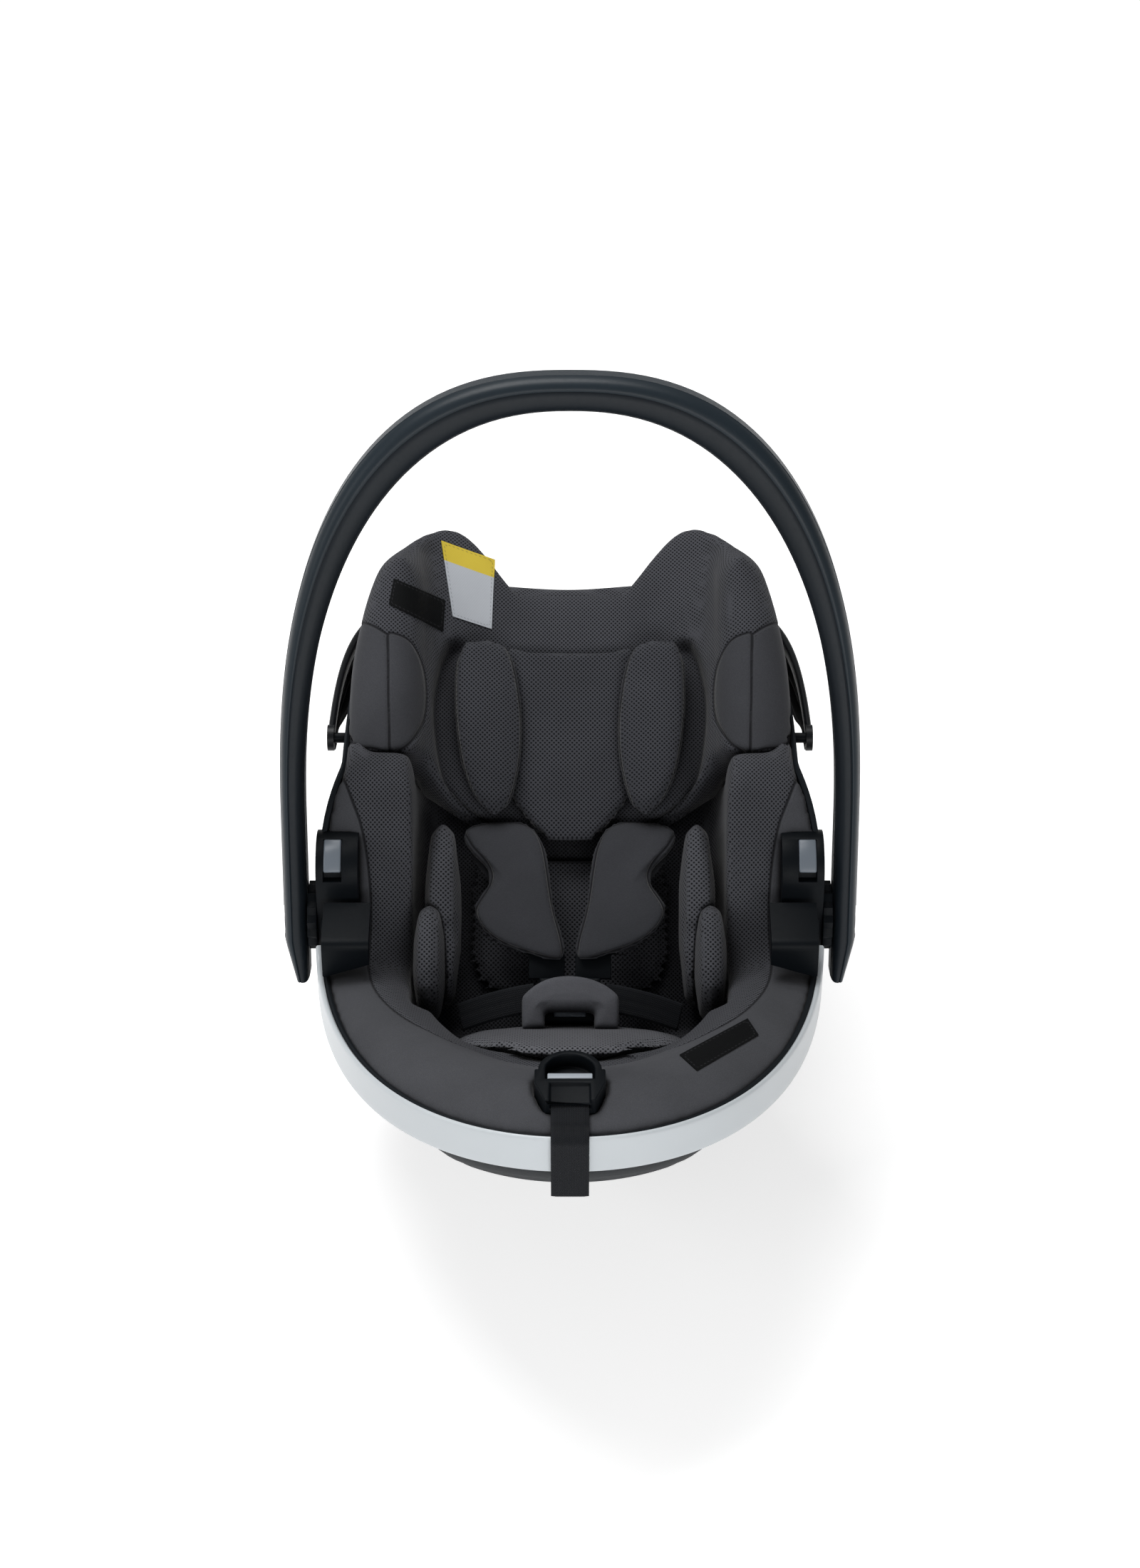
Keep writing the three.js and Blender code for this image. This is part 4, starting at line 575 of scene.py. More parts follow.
handle_plastic = plastic("handle_plastic", colour(34, 43, 50), 0.42, coat=0.03, shine=0.24)
handle_dark = plastic("handle_dark", colour(24, 30, 36), 0.48, shine=0.24)
trim_plastic = plastic("trim_plastic", colour(12, 16, 20), 0.48, shine=0.1)
bow_plastic = plastic("bow_plastic", colour(18, 20, 23), 0.4, coat=0.05, shine=0.2)
grey_plastic = plastic("grey_plastic", colour(112, 120, 129), 0.33, grain=0.2, coat=0.2)
# Painted highlight: the adjuster trigger is a real part, and its pale colour stands for the highlight
# along the lever's top edge.
painted_highlight_plastic = plastic("painted_highlight_plastic", colour(176, 184, 192), 0.3, grain=0.15, coat=0.3)
band_plastic = plastic("band_plastic", colour(212, 218, 222), 0.34, grain=0.12, wear=0.0,
                       coat=0.25, clouds=0.015)
steel = metal("steel", colour(186, 190, 196), 0.3)
foam = beads("foam", colour(44, 46, 49))
belt_cloth = webbing("belt_cloth", colour(24, 26, 30))
black_tag = label_cloth("black_tag", colour(16, 17, 18))
pale_tag = label_cloth("pale_tag", colour(186, 190, 196), colour(214, 190, 70), 40.0)


# ---------------------------------------------------------------- straps

def strap(name, route, width, breadth, steps):
    """A flat belt along a route, with rounded edges; its weave follows it."""
    line = catmull(route, steps, False)
    tangents = np.gradient(line, axis=0)
    tangents /= np.linalg.norm(tangents, axis=1, keepdims=True)
    run = np.concatenate([[0], np.cumsum(np.linalg.norm(np.diff(line, axis=0), axis=1))])
    half, thin = width / 2, BELT_THICK / 2
    across = np.linspace(-1, 1, 9)
    lift = np.sqrt(np.clip(1 - np.abs(across) ** 6, 0, 1))
    section = [(a * half, max(h, 0.25) * thin) for a, h in zip(across, lift)]
    section += [(a * half, -max(h, 0.25) * thin) for a, h in zip(across[::-1], lift[::-1])]
    rings, marks = [], []
    for p, t, r in zip(line, tangents, run):
        b = np.asarray(breadth, float) - t * np.dot(t, breadth)
        b /= np.linalg.norm(b)
        n = np.cross(t, b)
        rings.append([p + b * x + n * z for x, z in section])
        marks += [(x, r, half - abs(x)) for x, _ in section]
    obj = make(name, *loft(rings))
    attribute = obj.data.attributes.new("strap", "FLOAT_VECTOR", "POINT")
    attribute.data.foreach_set("vector", np.array(marks, np.float32).ravel())
    return obj, line


BELT_WIDTH, LAP_WIDTH, BELT_THICK = 26, 22, 1.6
OVERALL_LENGTH = 644
FOOT_REACH, HEAD_REACH = 319.0, 313.0
RIM_HALF, HEAD_HALF = 193.0, 177.0
LINING_INSET = 8.4


def rim_height(x, y):
    foot = 190 + 74 * (np.maximum(0, -y) / FOOT_REACH) ** 1.7
    head = 302 - 36 * (1 - (np.abs(x) / HEAD_HALF) ** 2)
    return lerp(foot, head, smoothstep(-62, 45, y))


def rim(angle, inset):
    angle = np.asarray(angle, float)
    fold = np.arcsin(np.sin(angle))
    half = lerp(RIM_HALF, HEAD_HALF, smoothstep(-0.05, 0.3, fold))
    headward = np.sin(angle) > 0
    foot = polar(angle, half - inset, FOOT_REACH - inset, 2.04)
    head = polar(angle, half - inset, HEAD_REACH - inset, 4)
    radius = np.where(headward, head, foot)
    x, y = radius * np.cos(angle), radius * np.sin(angle)
    return np.stack([x, y, rim_height(x, y)], axis=-1)


def lining_top(angle, share):
    edge = rim(angle, LINING_INSET)
    headward = smoothstep(-0.35, 0.35, np.sin(angle))
    middle = lerp(135.0, edge[..., 2] - 8, headward)
    height = lerp(8.0, 26.0, smoothstep(0.3, 0.95, -np.sin(angle)))
    crown = height * np.sin(math.pi * np.minimum(1, (1 - share) / 0.4))
    ramp = 48 * smoothstep(0, 0.16, 1 - share) * smoothstep(0.7, 1, np.sin(angle))
    return np.stack([
        edge[..., 0] * share,
        lerp(-20.0, edge[..., 1], share),
        lerp(middle, edge[..., 2], share) + crown + ramp,
    ], axis=-1)


# The free end of the harness adjuster's strap hangs over the front lip.

def adjuster_axes():
    place = lining_top(-math.pi / 2, 0.81)
    ahead = lining_top(-math.pi / 2, 0.91)
    slope = math.atan2(ahead[2] - place[2], place[1] - ahead[1])
    along = np.array([0, math.cos(slope), -math.sin(slope)])
    out = np.array([0, math.sin(slope), math.cos(slope)])
    return place, along, out


def adjuster_route():
    place, along, out = adjuster_axes()
    route = [place - along * 36 * share + out * 1.2 for share in (0.5, 0.75, 1)]
    for share in (0.945, 0.97, 0.985):
        route.append(lining_top(-math.pi / 2, share) + [0, 0, 2.4])
    edge = rim(-math.pi / 2, 0)
    hang = (BELT_THICK - OVERALL_LENGTH) / 2
    route.append([0, edge[1] + 4, edge[2] + 3.2])
    route.append([0, hang + 0.4, edge[2] + 0.4])
    route += [[0, hang, edge[2] - drop] for drop in (8, 25, 50)]
    return route


strap_piece, strap_line = strap("adjuster_strap_end", adjuster_route(), BELT_WIDTH, (1, 0, 0), 110)
dress(strap_piece, belt_cloth, "seat", "adjuster_strap")
strap_run = float(np.linalg.norm(np.diff(strap_line, axis=0), axis=1).sum()) * MM


# ---------------------------------------------------------------- shell and rim

KEEL = dict(half_x=96, half_y=130, power=2.5, y=84, z=24)


def hull(angle, drop, inset):
    top = rim(angle, inset)
    top[..., 2] = rim(angle, 0)[..., 2] - 32 + inset / 2
    radius = polar(angle, KEEL["half_x"] - inset, KEEL["half_y"] - inset, KEEL["power"])
    bottom = np.stack([
        radius * np.cos(angle),
        KEEL["y"] + radius * np.sin(angle),
        np.full_like(angle, KEEL["z"] + inset),
    ], axis=-1)
    along = np.sin(angle)
    foot = lerp(2.3, 1.0, smoothstep(0.05, 0.7, -along))
    foot = lerp(foot, 1.27, smoothstep(0.9, 0.965, -along))
    belly = np.where(along < 0, foot, lerp(2.3, 2.0, np.abs(along) ** 1.5))
    inward = np.cos(drop * math.pi / 2) ** (2 / belly)
    down = np.sin(drop * math.pi / 2) ** (2 / belly)
    bulge = 14 * np.maximum(0, along) * np.sin(math.pi * drop)
    return np.stack([
        lerp(bottom[..., 0], top[..., 0], inward),
        lerp(bottom[..., 1], top[..., 1], inward) + bulge,
        lerp(top[..., 2], bottom[..., 2], down),
    ], axis=-1)


def even_angles(count, start=-math.pi / 2, end=1.5 * math.pi):
    """Angles round the rim with even steps along it."""
    fine = np.linspace(start, end, 1441)
    edge = rim(fine, 0)[:, :2]
    run = np.concatenate([[0], np.cumsum(np.linalg.norm(np.diff(edge, axis=0), axis=1))])
    return np.interp(np.linspace(0, run[-1], count), run, fine)


def hull_rings(angles, inset, steps):
    rings = [rim(angles, inset)]
    rings += [hull(angles, k / steps, inset) for k in range(steps + 1)]
    return rings


def prism(outline, low, high):
    """A straight block along X from an outline in the YZ plane."""
    rings = [[(x, y, z) for y, z in outline] for x in (low, high)]
    return loft(rings)


def side_prism(name, outline, side, near, far):
    """A block along X on one side, between two distances from the middle plane."""
    low, high = sorted((side * near, side * far))
    return make(name, *prism(outline, low, high))


def circle(y, z, radius, count):
    turns = np.linspace(0, 2 * math.pi, count + 1)[:-1]
    return [(y + radius * math.cos(a), z + radius * math.sin(a)) for a in turns]


def hub_outline(grow):
    half = 28 + grow
    arc = [(-3 + half * math.cos(a), 243 + half * math.sin(a)) for a in np.linspace(0, math.pi, 25)]
    return [(-3 + half, 160 - grow)] + arc + [(-3 - half, 160 - grow)]


def hub_cutters(grow=0.4):
    for side, word in SIDES:
        yield side_prism("hub_cut_" + word, hub_outline(grow), side, 158.5 - grow, 200)


angles = even_angles(241)[:-1]
inner, outer = hull_rings(angles, 8.0, 26), hull_rings(angles, 4.4, 26)
lip = rim(angles, 6.2)
lip[:, 2] += 1.2
for k in (7, 8):
    centre = outer[k].mean(axis=0)
    outer[k] = outer[k] + (centre - outer[k]) * [0.012, 0.009, 0]
shell = make("shell_moulding", *loft([*inner[::-1], lip, *outer]))
cut(shell, *hub_cutters())
shade(shell, 35)
dress(shell, shell_plastic, "seat", "lower_shell")


def band_piece():
    end = math.atan2(-46, RIM_HALF)
    across = even_angles(200, -math.pi - end, end)
    section = [(4.0, 0.0), (2.6, 0.9), (1.4, 1.0), (0.5, 0.3), (0.1, -0.8), (0.0, -2.2), (0.0, -8.0),
               (0.25, -15.0), (0.0, -22.0), (0.0, -27.8), (0.15, -29.0), (0.6, -29.8),
               (1.4, -30.0), (2.6, -30.0), (4.0, -30.0)]
    rings = []
    for a in across:
        ring = []
        top = rim(a, 0)[2]
        for inset, rise in section:
            p = rim(a, inset)
            ring.append((p[0], p[1], (p[2] if inset > 3.5 else top) + rise))
        rings.append(ring)
    return make("rim_band_moulding", *loft(rings))


band = shade(band_piece(), 50)
dress(band, band_plastic, "seat", "rim_band")

for _, word in SIDES:
    rounded(f"skid_{word}", shell_plastic, 2.0)


# ---------------------------------------------------------------- handle

PIVOT = np.array([0.0, -14.0, 205.0])
TILT = math.radians(17)
HANDLE_AXES = np.array([
    [1, 0, 0],
    [0, math.cos(TILT), -math.sin(TILT)],
    [0, math.sin(TILT), math.cos(TILT)],
])


HANDLE_OUTER, HANDLE_INNER = (216, 341), (198, 314.5)
ARM_TOP, ARM_FOOT, ARM_TUCK = 79, -47, 8
ARM_DEPTH, CROWN_DEPTH = 44.0, 36.0


def handle_stations():
    """Outer and inner middle points and the depth, from the left arm's tail over to the right."""
    left = []
    for share in np.linspace(1, 0, 20):
        inward = ARM_TUCK * max(0, share - 0.75) / 0.25
        z = lerp(ARM_TOP, ARM_FOOT, share)
        left.append((inward - HANDLE_OUTER[0], z, -HANDLE_INNER[0], z, ARM_DEPTH))
    arch = []
    for k in range(1, 120):
        a = math.pi * (1 - k / 120)
        out, inn = polar(a, *HANDLE_OUTER, 2.5), polar(a, *HANDLE_INNER, 2.3)
        arch.append((out * math.cos(a), ARM_TOP + out * math.sin(a), inn * math.cos(a),
                     ARM_TOP + inn * math.sin(a), lerp(ARM_DEPTH, CROWN_DEPTH, math.sin(a))))
    right = [(-ox, oz, -ix, iz, d) for ox, oz, ix, iz, d in left[::-1]]
    return left + arch + right


def handle_half(name, low, high, material, node):
    """One moulding of the handle, between two shares of its thickness from the inside."""
    shares = np.linspace(low, high, 12)
    if low == 0:
        shares = np.concatenate([[0, 0.004, 0.014, 0.035, 0.07], np.linspace(0.12, high, 8)])
    else:
        shares = np.concatenate([np.linspace(low, 0.88, 8), [0.93, 0.965, 0.986, 0.996, 1]])
    breadth = np.clip(1 - np.abs(2 * shares - 1) ** 3, 0, 1) ** (1 / 3)
    ends = np.minimum((shares - low) / 0.05, (high - shares) / 0.05)
    part = shares - low if low > 0 else high - shares
    breadth = np.maximum(breadth, 0.42) - 0.045 * np.clip(1 - part / 0.05, 0, 1)
    rings = []
    for ox, oz, ix, iz, depth in handle_stations():
        ring = [(lerp(ix, ox, s), b * depth / 2, lerp(iz, oz, s)) for s, b in zip(shares, breadth)]
        ring += [(lerp(ix, ox, s), -b * depth / 2, lerp(iz, oz, s))
                 for s, b in zip(shares[::-1], breadth[::-1])]
        rings.append(np.array(ring) @ HANDLE_AXES + PIVOT)
    obj = make(name, *loft(rings))
    for side, _ in SIDES:
        for radius, near, far in ((9.4, 195, 206), (14.9, 201.7, 220)):
            cut(obj, side_prism("bore", circle(*PIVOT[1:], radius, 48), side, near, far))
    shade(obj, 32)
    return dress(obj, material, "handle", node)


handle_half("handle_inner_moulding", 0, 0.618, handle_dark, "handle_inner_shell")
handle_half("handle_outer_moulding", 0.62, 1, handle_plastic, "handle_outer_shell")

for _, word in SIDES:
    rounded(f"hub_housing_{word}", trim_plastic, 1.6)
    rounded(f"adapter_release_{word}", grey_plastic, 1.2)
    rounded(f"belt_guide_{word}", trim_plastic, 2.2, 4)
    rounded(f"lock_ring_{word}", trim_plastic, 0.5, 2)
    rounded(f"pivot_axle_{word}", steel, 0.6)
    rounded(f"handle_lock_button_{word}", trim_plastic, 1.2)
    rounded(f"canopy_pin_{word}", trim_plastic, 0.5, 2)
    NODES[f"lock_spring_{word}"].data.materials[0] = steel


# ---------------------------------------------------------------- seams and soft pieces

def plane_points(points, plane):
    """Two coordinates of each point: along the backrest, seen from the side, or from above."""
    if plane == "plan":
        return np.asarray(points)[:, :2]
    back = to_back(points)
    return back[:, [0, 1]] if plane == "back" else back[:, [1, 2]]


def nearest_on(lines, flat):
    """Distance to the nearest polyline and the way along it."""
    best = np.full(len(flat), 1e9)
    way = np.zeros(len(flat))
    for line in lines:
        line = np.asarray(line, float)
        run = 0.0
        for a, b in zip(line[:-1], line[1:]):
            d = b - a
            length = float(np.linalg.norm(d))
            t = np.clip(((flat - a) @ d) / max(length ** 2, 1e-9), 0, 1)
            far = np.linalg.norm(flat - a - t[:, None] * d, axis=1)
            closer = far < best
            best[closer] = far[closer]
            way[closer] = (run + t * length)[closer]
            run += length
    return best, way


def within(outline, flat):
    """Which points lie inside a closed outline."""
    outline = np.asarray(outline, float)
    inside = np.zeros(len(flat), bool)
    x, y = flat[:, 0], flat[:, 1]
    for (x0, y0), (x1, y1) in zip(outline, np.roll(outline, -1, axis=0)):
        if y0 != y1:
            crosses = (y0 > y) != (y1 > y)
            inside ^= crosses & (x < x0 + (y - y0) * (x1 - x0) / (y1 - y0))
    return inside


SEAM_BREADTH = 1.6


def mark(obj, outlines=(), plane="back", zone=1.0, groove=0.0, where=None, folds=()):
    """Writes the seam attribute, and presses a shallow channel along the seams.

    The zone is a number, or "inside" for mesh inside the outlines and plain weave outside, or
    "outside" for the reverse.
    """
    points = places(obj)
    distance, way = np.full(len(points), 20.0), np.zeros(len(points))
    if outlines:
        flat = plane_points(points, plane)
        inside = np.zeros(len(points), bool)
        for outline in outlines:
            inside |= within(outline, flat)
        far, way = nearest_on([np.vstack([o, o[:1]]) for o in outlines], flat)
        distance = np.where(inside, far, -far).clip(-20, 20)
        if zone == "inside":
            zone = distance.clip(-3, 3)
        elif zone == "outside":
            zone = -distance.clip(-3, 3)
        if where is not None:
            distance = np.where(where(points, normals(obj)), distance, 20)
    sink = groove * np.exp(-(distance / SEAM_BREADTH) ** 2)
    front = 1 if where is None else where(points, normals(obj))
    for line, deep, breadth in folds:
        far, _ = nearest_on([line], plane_points(points, plane))
        sink += deep * front * np.exp(-(far / breadth) ** 2)
    if np.any(sink):
        put(obj, points - normals(obj) * sink[:, None])
    old = obj.data.attributes.get("seam")
    if old:
        obj.data.attributes.remove(old)
    attribute = obj.data.attributes.new("seam", "FLOAT_VECTOR", "POINT")
    values = np.zeros((len(points), 3), np.float32)
    values[:, 0], values[:, 1], values[:, 2] = distance, way, zone
    attribute.data.foreach_set("vector", values.ravel())
    return obj


SEAT_REACH = 6.0


def seat_under(obj, pieces, room, most=3.4):
    """Presses the surface back a little under other pieces, so that each lies in a hollow."""
    trees = [BVHTree.FromObject(piece, bpy.context.evaluated_depsgraph_get()) for piece in pieces]
    points, normal = places(obj), normals(obj)
    sink = np.zeros(len(points))
    for i, point in enumerate(points * MM):
        place = Vector(point)
        for tree in trees:
            near, out, _, far = tree.find_nearest(place, SEAT_REACH * MM)
            if near is None:
                continue
            deep = far if (place - near).dot(out) < 0 else -far
            sink[i] = max(sink[i], room + deep / MM)
    sink = sink.clip(0, most)
    ends = np.array([edge.vertices[:] for edge in obj.data.edges])
    neighbours = np.bincount(ends.ravel(), minlength=len(sink))
    for _ in range(4):
        total = np.bincount(ends[:, 0], sink[ends[:, 1]], len(sink))
        total += np.bincount(ends[:, 1], sink[ends[:, 0]], len(sink))
        sink = np.maximum(sink, total / np.maximum(neighbours, 1))
    put(obj, points - normal * sink[:, None])
    return obj


def ease(obj, share, rounds):
    """Smooths only part of a surface: each point as much as its share says."""
    start = places(obj)
    relax(obj, rounds)
    put(obj, lerp(start, places(obj), share[:, None]))
    return obj


def soft(name, node, cap, voxel=2.4, rounds=6, waves=0.35, subdivide=1):
    """A CAD pad as stuffed fabric: remeshed, eased, blown up as cloth and subdivided."""
    obj = bare(node, name)
    modify(obj, "REMESH", mode="VOXEL", voxel_size=voxel * MM, adaptivity=0.0)
    relax(obj, rounds)
    swell(obj, cap)
    points = places(obj)
    put(obj, points + normals(obj) * (waves * wander(points, 26, len(name)))[:, None])
    if subdivide:
        modify(obj, "SUBSURF", levels=subdivide)
    return shade(obj)


def inset_line(outline, amount):
    """A smooth closed line inside an outline, a fixed way in from it."""
    line = catmull(outline, 120, True)
    ahead = np.roll(line, -1, axis=0) - np.roll(line, 1, axis=0)
    inward = np.stack([-ahead[:, 1], ahead[:, 0]], axis=1)
    inward /= np.linalg.norm(inward, axis=1, keepdims=True)
    area = np.sum(line[:, 0] * np.roll(line[:, 1], -1) - line[:, 1] * np.roll(line[:, 0], -1))
    return line + inward * amount * (1 if area > 0 else -1)


def facing_out(points, normal):
    return normal @ BACK_AXES[2] > 0.15


def scaled(shares, start_x, breadth, start_y, length):
    return [(start_x + x * breadth, start_y + y * length) for x, y in shares]


# Head hugger

HUGGER = scaled([
    (0, 0.99), (0.5, 1), (0.87, 1), (1, 0.67), (0.97, 0.36), (0.7, 0.17), (0.32, 0.02), (0, 0),
    (-0.32, 0.02), (-0.7, 0.17), (-0.97, 0.36), (-1, 0.67), (-0.87, 1), (-0.5, 1),
], 0, 60, 141, 163)
hugger = soft("hugger_centre", "head_hugger_pad", voxel=2.0, rounds=9, cap=2.5)
mark(hugger, [inset_line(HUGGER, 3.2)], groove=0.5, where=facing_out)
dress(hugger, hugger_cloth, "headrest", "head_hugger_pad")

LEAF = scaled([
    (0.74, 1), (-0.48, 1), (-1, 0.18), (-0.89, -0.55), (-0.41, -0.99), (0.11, -0.94),
    (0.7, -0.55), (1, 0.1), (1, 0.75),
], 63, 26.2, 230, 71)
leaves = []
for side, word in SIDES:
    leaf = soft(f"hugger_leaf_{word}", f"head_hugger_wing_{word}", cap=3.0, waves=0.5)
    outline = [(side * x, s) for x, s in LEAF]
    mark(leaf, [inset_line(outline, 1.5)], groove=0.3, where=facing_out)
    dress(leaf, hugger_cloth, "headrest", f"head_hugger_wing_{word}")
    leaves.append(leaf)

# Infant insert

INSERT = scaled([
    (0, 1), (0.62, 1), (0.97, 0.93), (1, 0.57), (0.95, 0.16), (0.5, 0.02), (0, 0), (-0.5, 0.02),
    (-0.95, 0.16), (-1, 0.57), (-0.97, 0.93), (-0.62, 1),
], 0, 80, 20, 122)
back_pad = soft("insert_back", "insert_back_pad", voxel=1.6, rounds=12, cap=1.5, subdivide=0)
put(back_pad, places(back_pad) + 2.0 * BACK_AXES[2])
mark(back_pad, [inset_line(INSERT, 4)], groove=0.4, where=facing_out)
dress(back_pad, insert_cloth, "seat", "insert_back_pad")

cushion = soft("insert_cushion", "insert_seat_cushion", rounds=12, cap=1.6, waves=0.3)
mark(cushion)
dress(cushion, cushion_cloth, "seat", "insert_seat_cushion")

rolls = []
for side, word in SIDES:
    for part in ("upper", "lower"):
        roll = soft(f"{part}_bolster_{word}_pad", f"{part}_bolster_{word}", cap=2.5, waves=0.5)
        mark(roll)
        dress(roll, insert_cloth, "seat", f"{part}_bolster_{word}")
        rolls.append(roll)

# Shoulder pads and their backing flaps

PAD = scaled([
    (0, 0), (0.44, 0.04), (0.76, 0.16), (0.9, 0.34), (0.75, 0.58), (0.95, 0.79), (1, 0.93),
    (0.68, 1), (0.35, 0.97), (0.19, 0.81), (0.09, 0.39),
], 3, 80, 43, 120)
for side, word in SIDES:
    outline = [(side * x, s) for x, s in PAD]
    pad = soft(f"shoulder_pad_{word}_soft", f"shoulder_pad_{word}", voxel=2.0, cap=1.8, waves=0.5)
    mark(pad, [inset_line(outline, 3.6)], groove=0.7, where=facing_out, zone=-1.0)
    dress(pad, pad_cloth, "headrest", f"shoulder_pad_{word}")
    flap = soft(f"shoulder_flap_{word}", f"shoulder_pad_backing_{word}", voxel=1.4, rounds=3,
                cap=0.6, waves=0.2)
    mark(flap, zone=-1.0)
    dress(flap, pad_cloth, "headrest", f"shoulder_pad_backing_{word}")

# Buckle and its cover

cover_pad = soft("buckle_cover", "buckle_cover_pad", voxel=1.5, rounds=12, cap=1.8, waves=0.9)
mark(cover_pad, zone=-1.0)
dress(cover_pad, buckle_cloth, "seat", "buckle_cover_pad")
rounded("buckle_body", trim_plastic, 1.0)
rounded("buckle_release_button", grey_plastic, 0.8)
for _, word in SIDES:
    rounded(f"buckle_tongue_{word}", trim_plastic, 1.0)

# Harness straps, in the backrest frame

SHOULDER = [(1, 1, 0.05), (1, 0.94, 0.058), (0.98, 0.881, 0.173), (0.96, 0.821, 0.365),
            (0.87, 0.702, 0.596), (0.67, 0.5, 0.808), (0.5, 0.357, 0.942), (0.39, 0.321, 1)]
LAP = [(0.31, 1, 1), (0.53, 0.812, 0.967), (0.77, 0.562, 0.867), (1, 0.25, 0.733)]
CROTCH = [(0, -0.167, 1), (0, -0.5, 0.745), (0, -0.95, 0.4)]


def back_strap(name, shares, size, side, width, breadth, steps, node):
    route = from_back([(side * x * size[0], s * size[1], n * size[2]) for x, s, n in shares])
    obj, _ = strap(name, route, width, np.asarray(breadth, float) @ BACK_AXES, steps)
    return dress(obj, belt_cloth, "seat", node)


for side, word in SIDES:
    back_strap(f"shoulder_belt_{word}", SHOULDER, (46, 168, 52), side, BELT_WIDTH, (1, 0, 0), 70,
               f"shoulder_strap_{word}")
    back_strap(f"lap_belt_{word}", LAP, (83, 16, 60), side, LAP_WIDTH, (0, 1, 0), 40,
               f"lap_strap_{word}")
back_strap("crotch_belt", CROTCH, (0, 30, 58), 1, BELT_WIDTH, (1, 0, 0), 24, "crotch_strap")


# ---------------------------------------------------------------- headrest cover

def wing_outer(along):
    share = np.clip((along - 230) / (395 - 230), 0, 1)
    return lerp(98.0, 170.0, np.sqrt(1 - share ** 2))


def wing_half(along):
    return np.maximum(8, (wing_outer(along) - 114) / 2)


def headrest_place(u, v):
    across = np.abs(2 * u - 1)
    horn = smoothstep(0.27, 0.58, across) * 54
    fall = smoothstep(0.58, 1.05, across) * 51
    bottom = lerp(156.0, 197.0, smoothstep(0.42, 0.77, across))
    return lerp(bottom, 350 + horn - fall, v)


def headrest_middle(u, v):
    angle = (2 * u - 1) * math.pi / 2 - math.pi / 2
    radius = polar(angle, 133, 80, 4)
    along = headrest_place(u, v)
    wing_x = wing_outer(along) - wing_half(along)
    lean = smoothstep(0.58, 0.9, np.abs(2 * u - 1))
    return np.stack([radius * np.cos(angle) * lerp(1, wing_x / 133, lean), along,
                     96 + radius * np.sin(angle)], axis=-1)


def taper(share, edge):
    inner_share = np.minimum(1, np.minimum(share, 1 - share) / edge)
    return np.sqrt(1 - (1 - inner_share) ** 2)


def eased(count, edge):
    """Shares from 0 to 1, closer together within the edge at each end."""
    rim_part = edge * (1 - np.cos(np.linspace(0, math.pi / 2, 7)))
    middle = np.linspace(edge, 1 - edge, count)[1:-1]
    return np.concatenate([rim_part, middle, 1 - rim_part[::-1]])


def headrest_piece():
    us, vs = eased(110, 0.07), eased(48, 0.12)
    u, v = np.meshgrid(us, vs)
    middle = headrest_middle(u, v)
    small = 1e-3
    du = np.where(u < 0.5, small, -small)
    dv = np.where(v < 0.5, small, -small)
    across = (headrest_middle(u + du, v) - middle) * np.sign(du)[..., None]
    along = (headrest_middle(u, v + dv) - middle) * np.sign(dv)[..., None]
    normal = np.cross(across, along)
    normal /= np.linalg.norm(normal, axis=-1, keepdims=True)
    fullness = smoothstep(0.42, 0.77, np.abs(2 * u - 1))
    full = lerp(8.0, wing_half(headrest_place(u, v)), fullness)
    half = full * taper(u, 0.07) * np.where(v < 0.5, taper(v, 0.05), taper(v, 0.12)) + 0.6
    front, rear = middle + normal * half[..., None], middle - normal * half[..., None]
    rows, columns = u.shape
    points = np.concatenate([front.reshape(-1, 3), rear.reshape(-1, 3)])
    size, faces = rows * columns, []
    for j in range(rows - 1):
        for i in range(columns - 1):
            a = j * columns + i
            faces.append((a, a + 1, a + columns + 1, a + columns))
            faces.append((size + a, size + a + columns, size + a + columns + 1, size + a + 1))
    border = list(range(columns)) + [j * columns + columns - 1 for j in range(1, rows)]
    border += [(rows - 1) * columns + i for i in range(columns - 2, -1, -1)]
    border += [j * columns for j in range(rows - 2, 0, -1)]
    for a, b in zip(border, border[1:] + border[:1]):
        faces.append((a, b, b + size, a + size))
    x, s, n = points.T
    corner = np.clip((np.abs(x) - 111.6) / (154 - 111.6), 0, 1)
    floor = 62 * (1 - np.sqrt(1 - corner)) ** 2 + 1.4
    points[:, 2] = np.where(np.abs(x) < 154, np.maximum(n, floor), n)
    points[:, 0] = np.where(s < 195.6, np.clip(x, -116.4, 116.4), x)
    placed = from_back(points)
    rim_top = rim_height(placed[:, 0], placed[:, 1]) + 2.2
    low = placed[:, 2] < rim_top
    placed[low, 0] = placed[low, 0].clip(-153.4, 153.4)
    return make("headrest_upholstery", placed, faces)


# A smooth patch on each wing's inner half, the plain strip outside it, and the fold below both.
PATCH = [(139, 291), (133, 292), (121, 287), (112.5, 272), (110, 250), (112.5, 228), (121, 208),
         (131, 199), (136, 197), (137, 222), (138, 250), (138.6, 275)]
STRIP = [(139, 291), (138.3, 270), (138, 250), (137, 222), (136, 197), (150, 201), (190, 208),
         (190, 312), (160, 306)]
HOLLOW = [(88, 300), (93, 285), (97, 255), (96, 225), (91, 195), (82, 172), (66, 158)]
headrest = headrest_piece()
modify(headrest, "REMESH", mode="VOXEL", voxel_size=2.6 * MM, adaptivity=0.0)
relax(headrest, 4)
points = places(headrest)
put(headrest, points + normals(headrest) * (0.7 * wander(points, 45, 3))[:, None])
modify(headrest, "SUBSURF", levels=1)
seat_under(headrest, [hugger, *leaves], 0.8)
sides = [[(side * x, s) for x, s in line]
         for side, _ in SIDES for line in (catmull(PATCH, 90, True), STRIP)]
HOLLOW_DEEP, HOLLOW_BREADTH = 10.0, 6.0
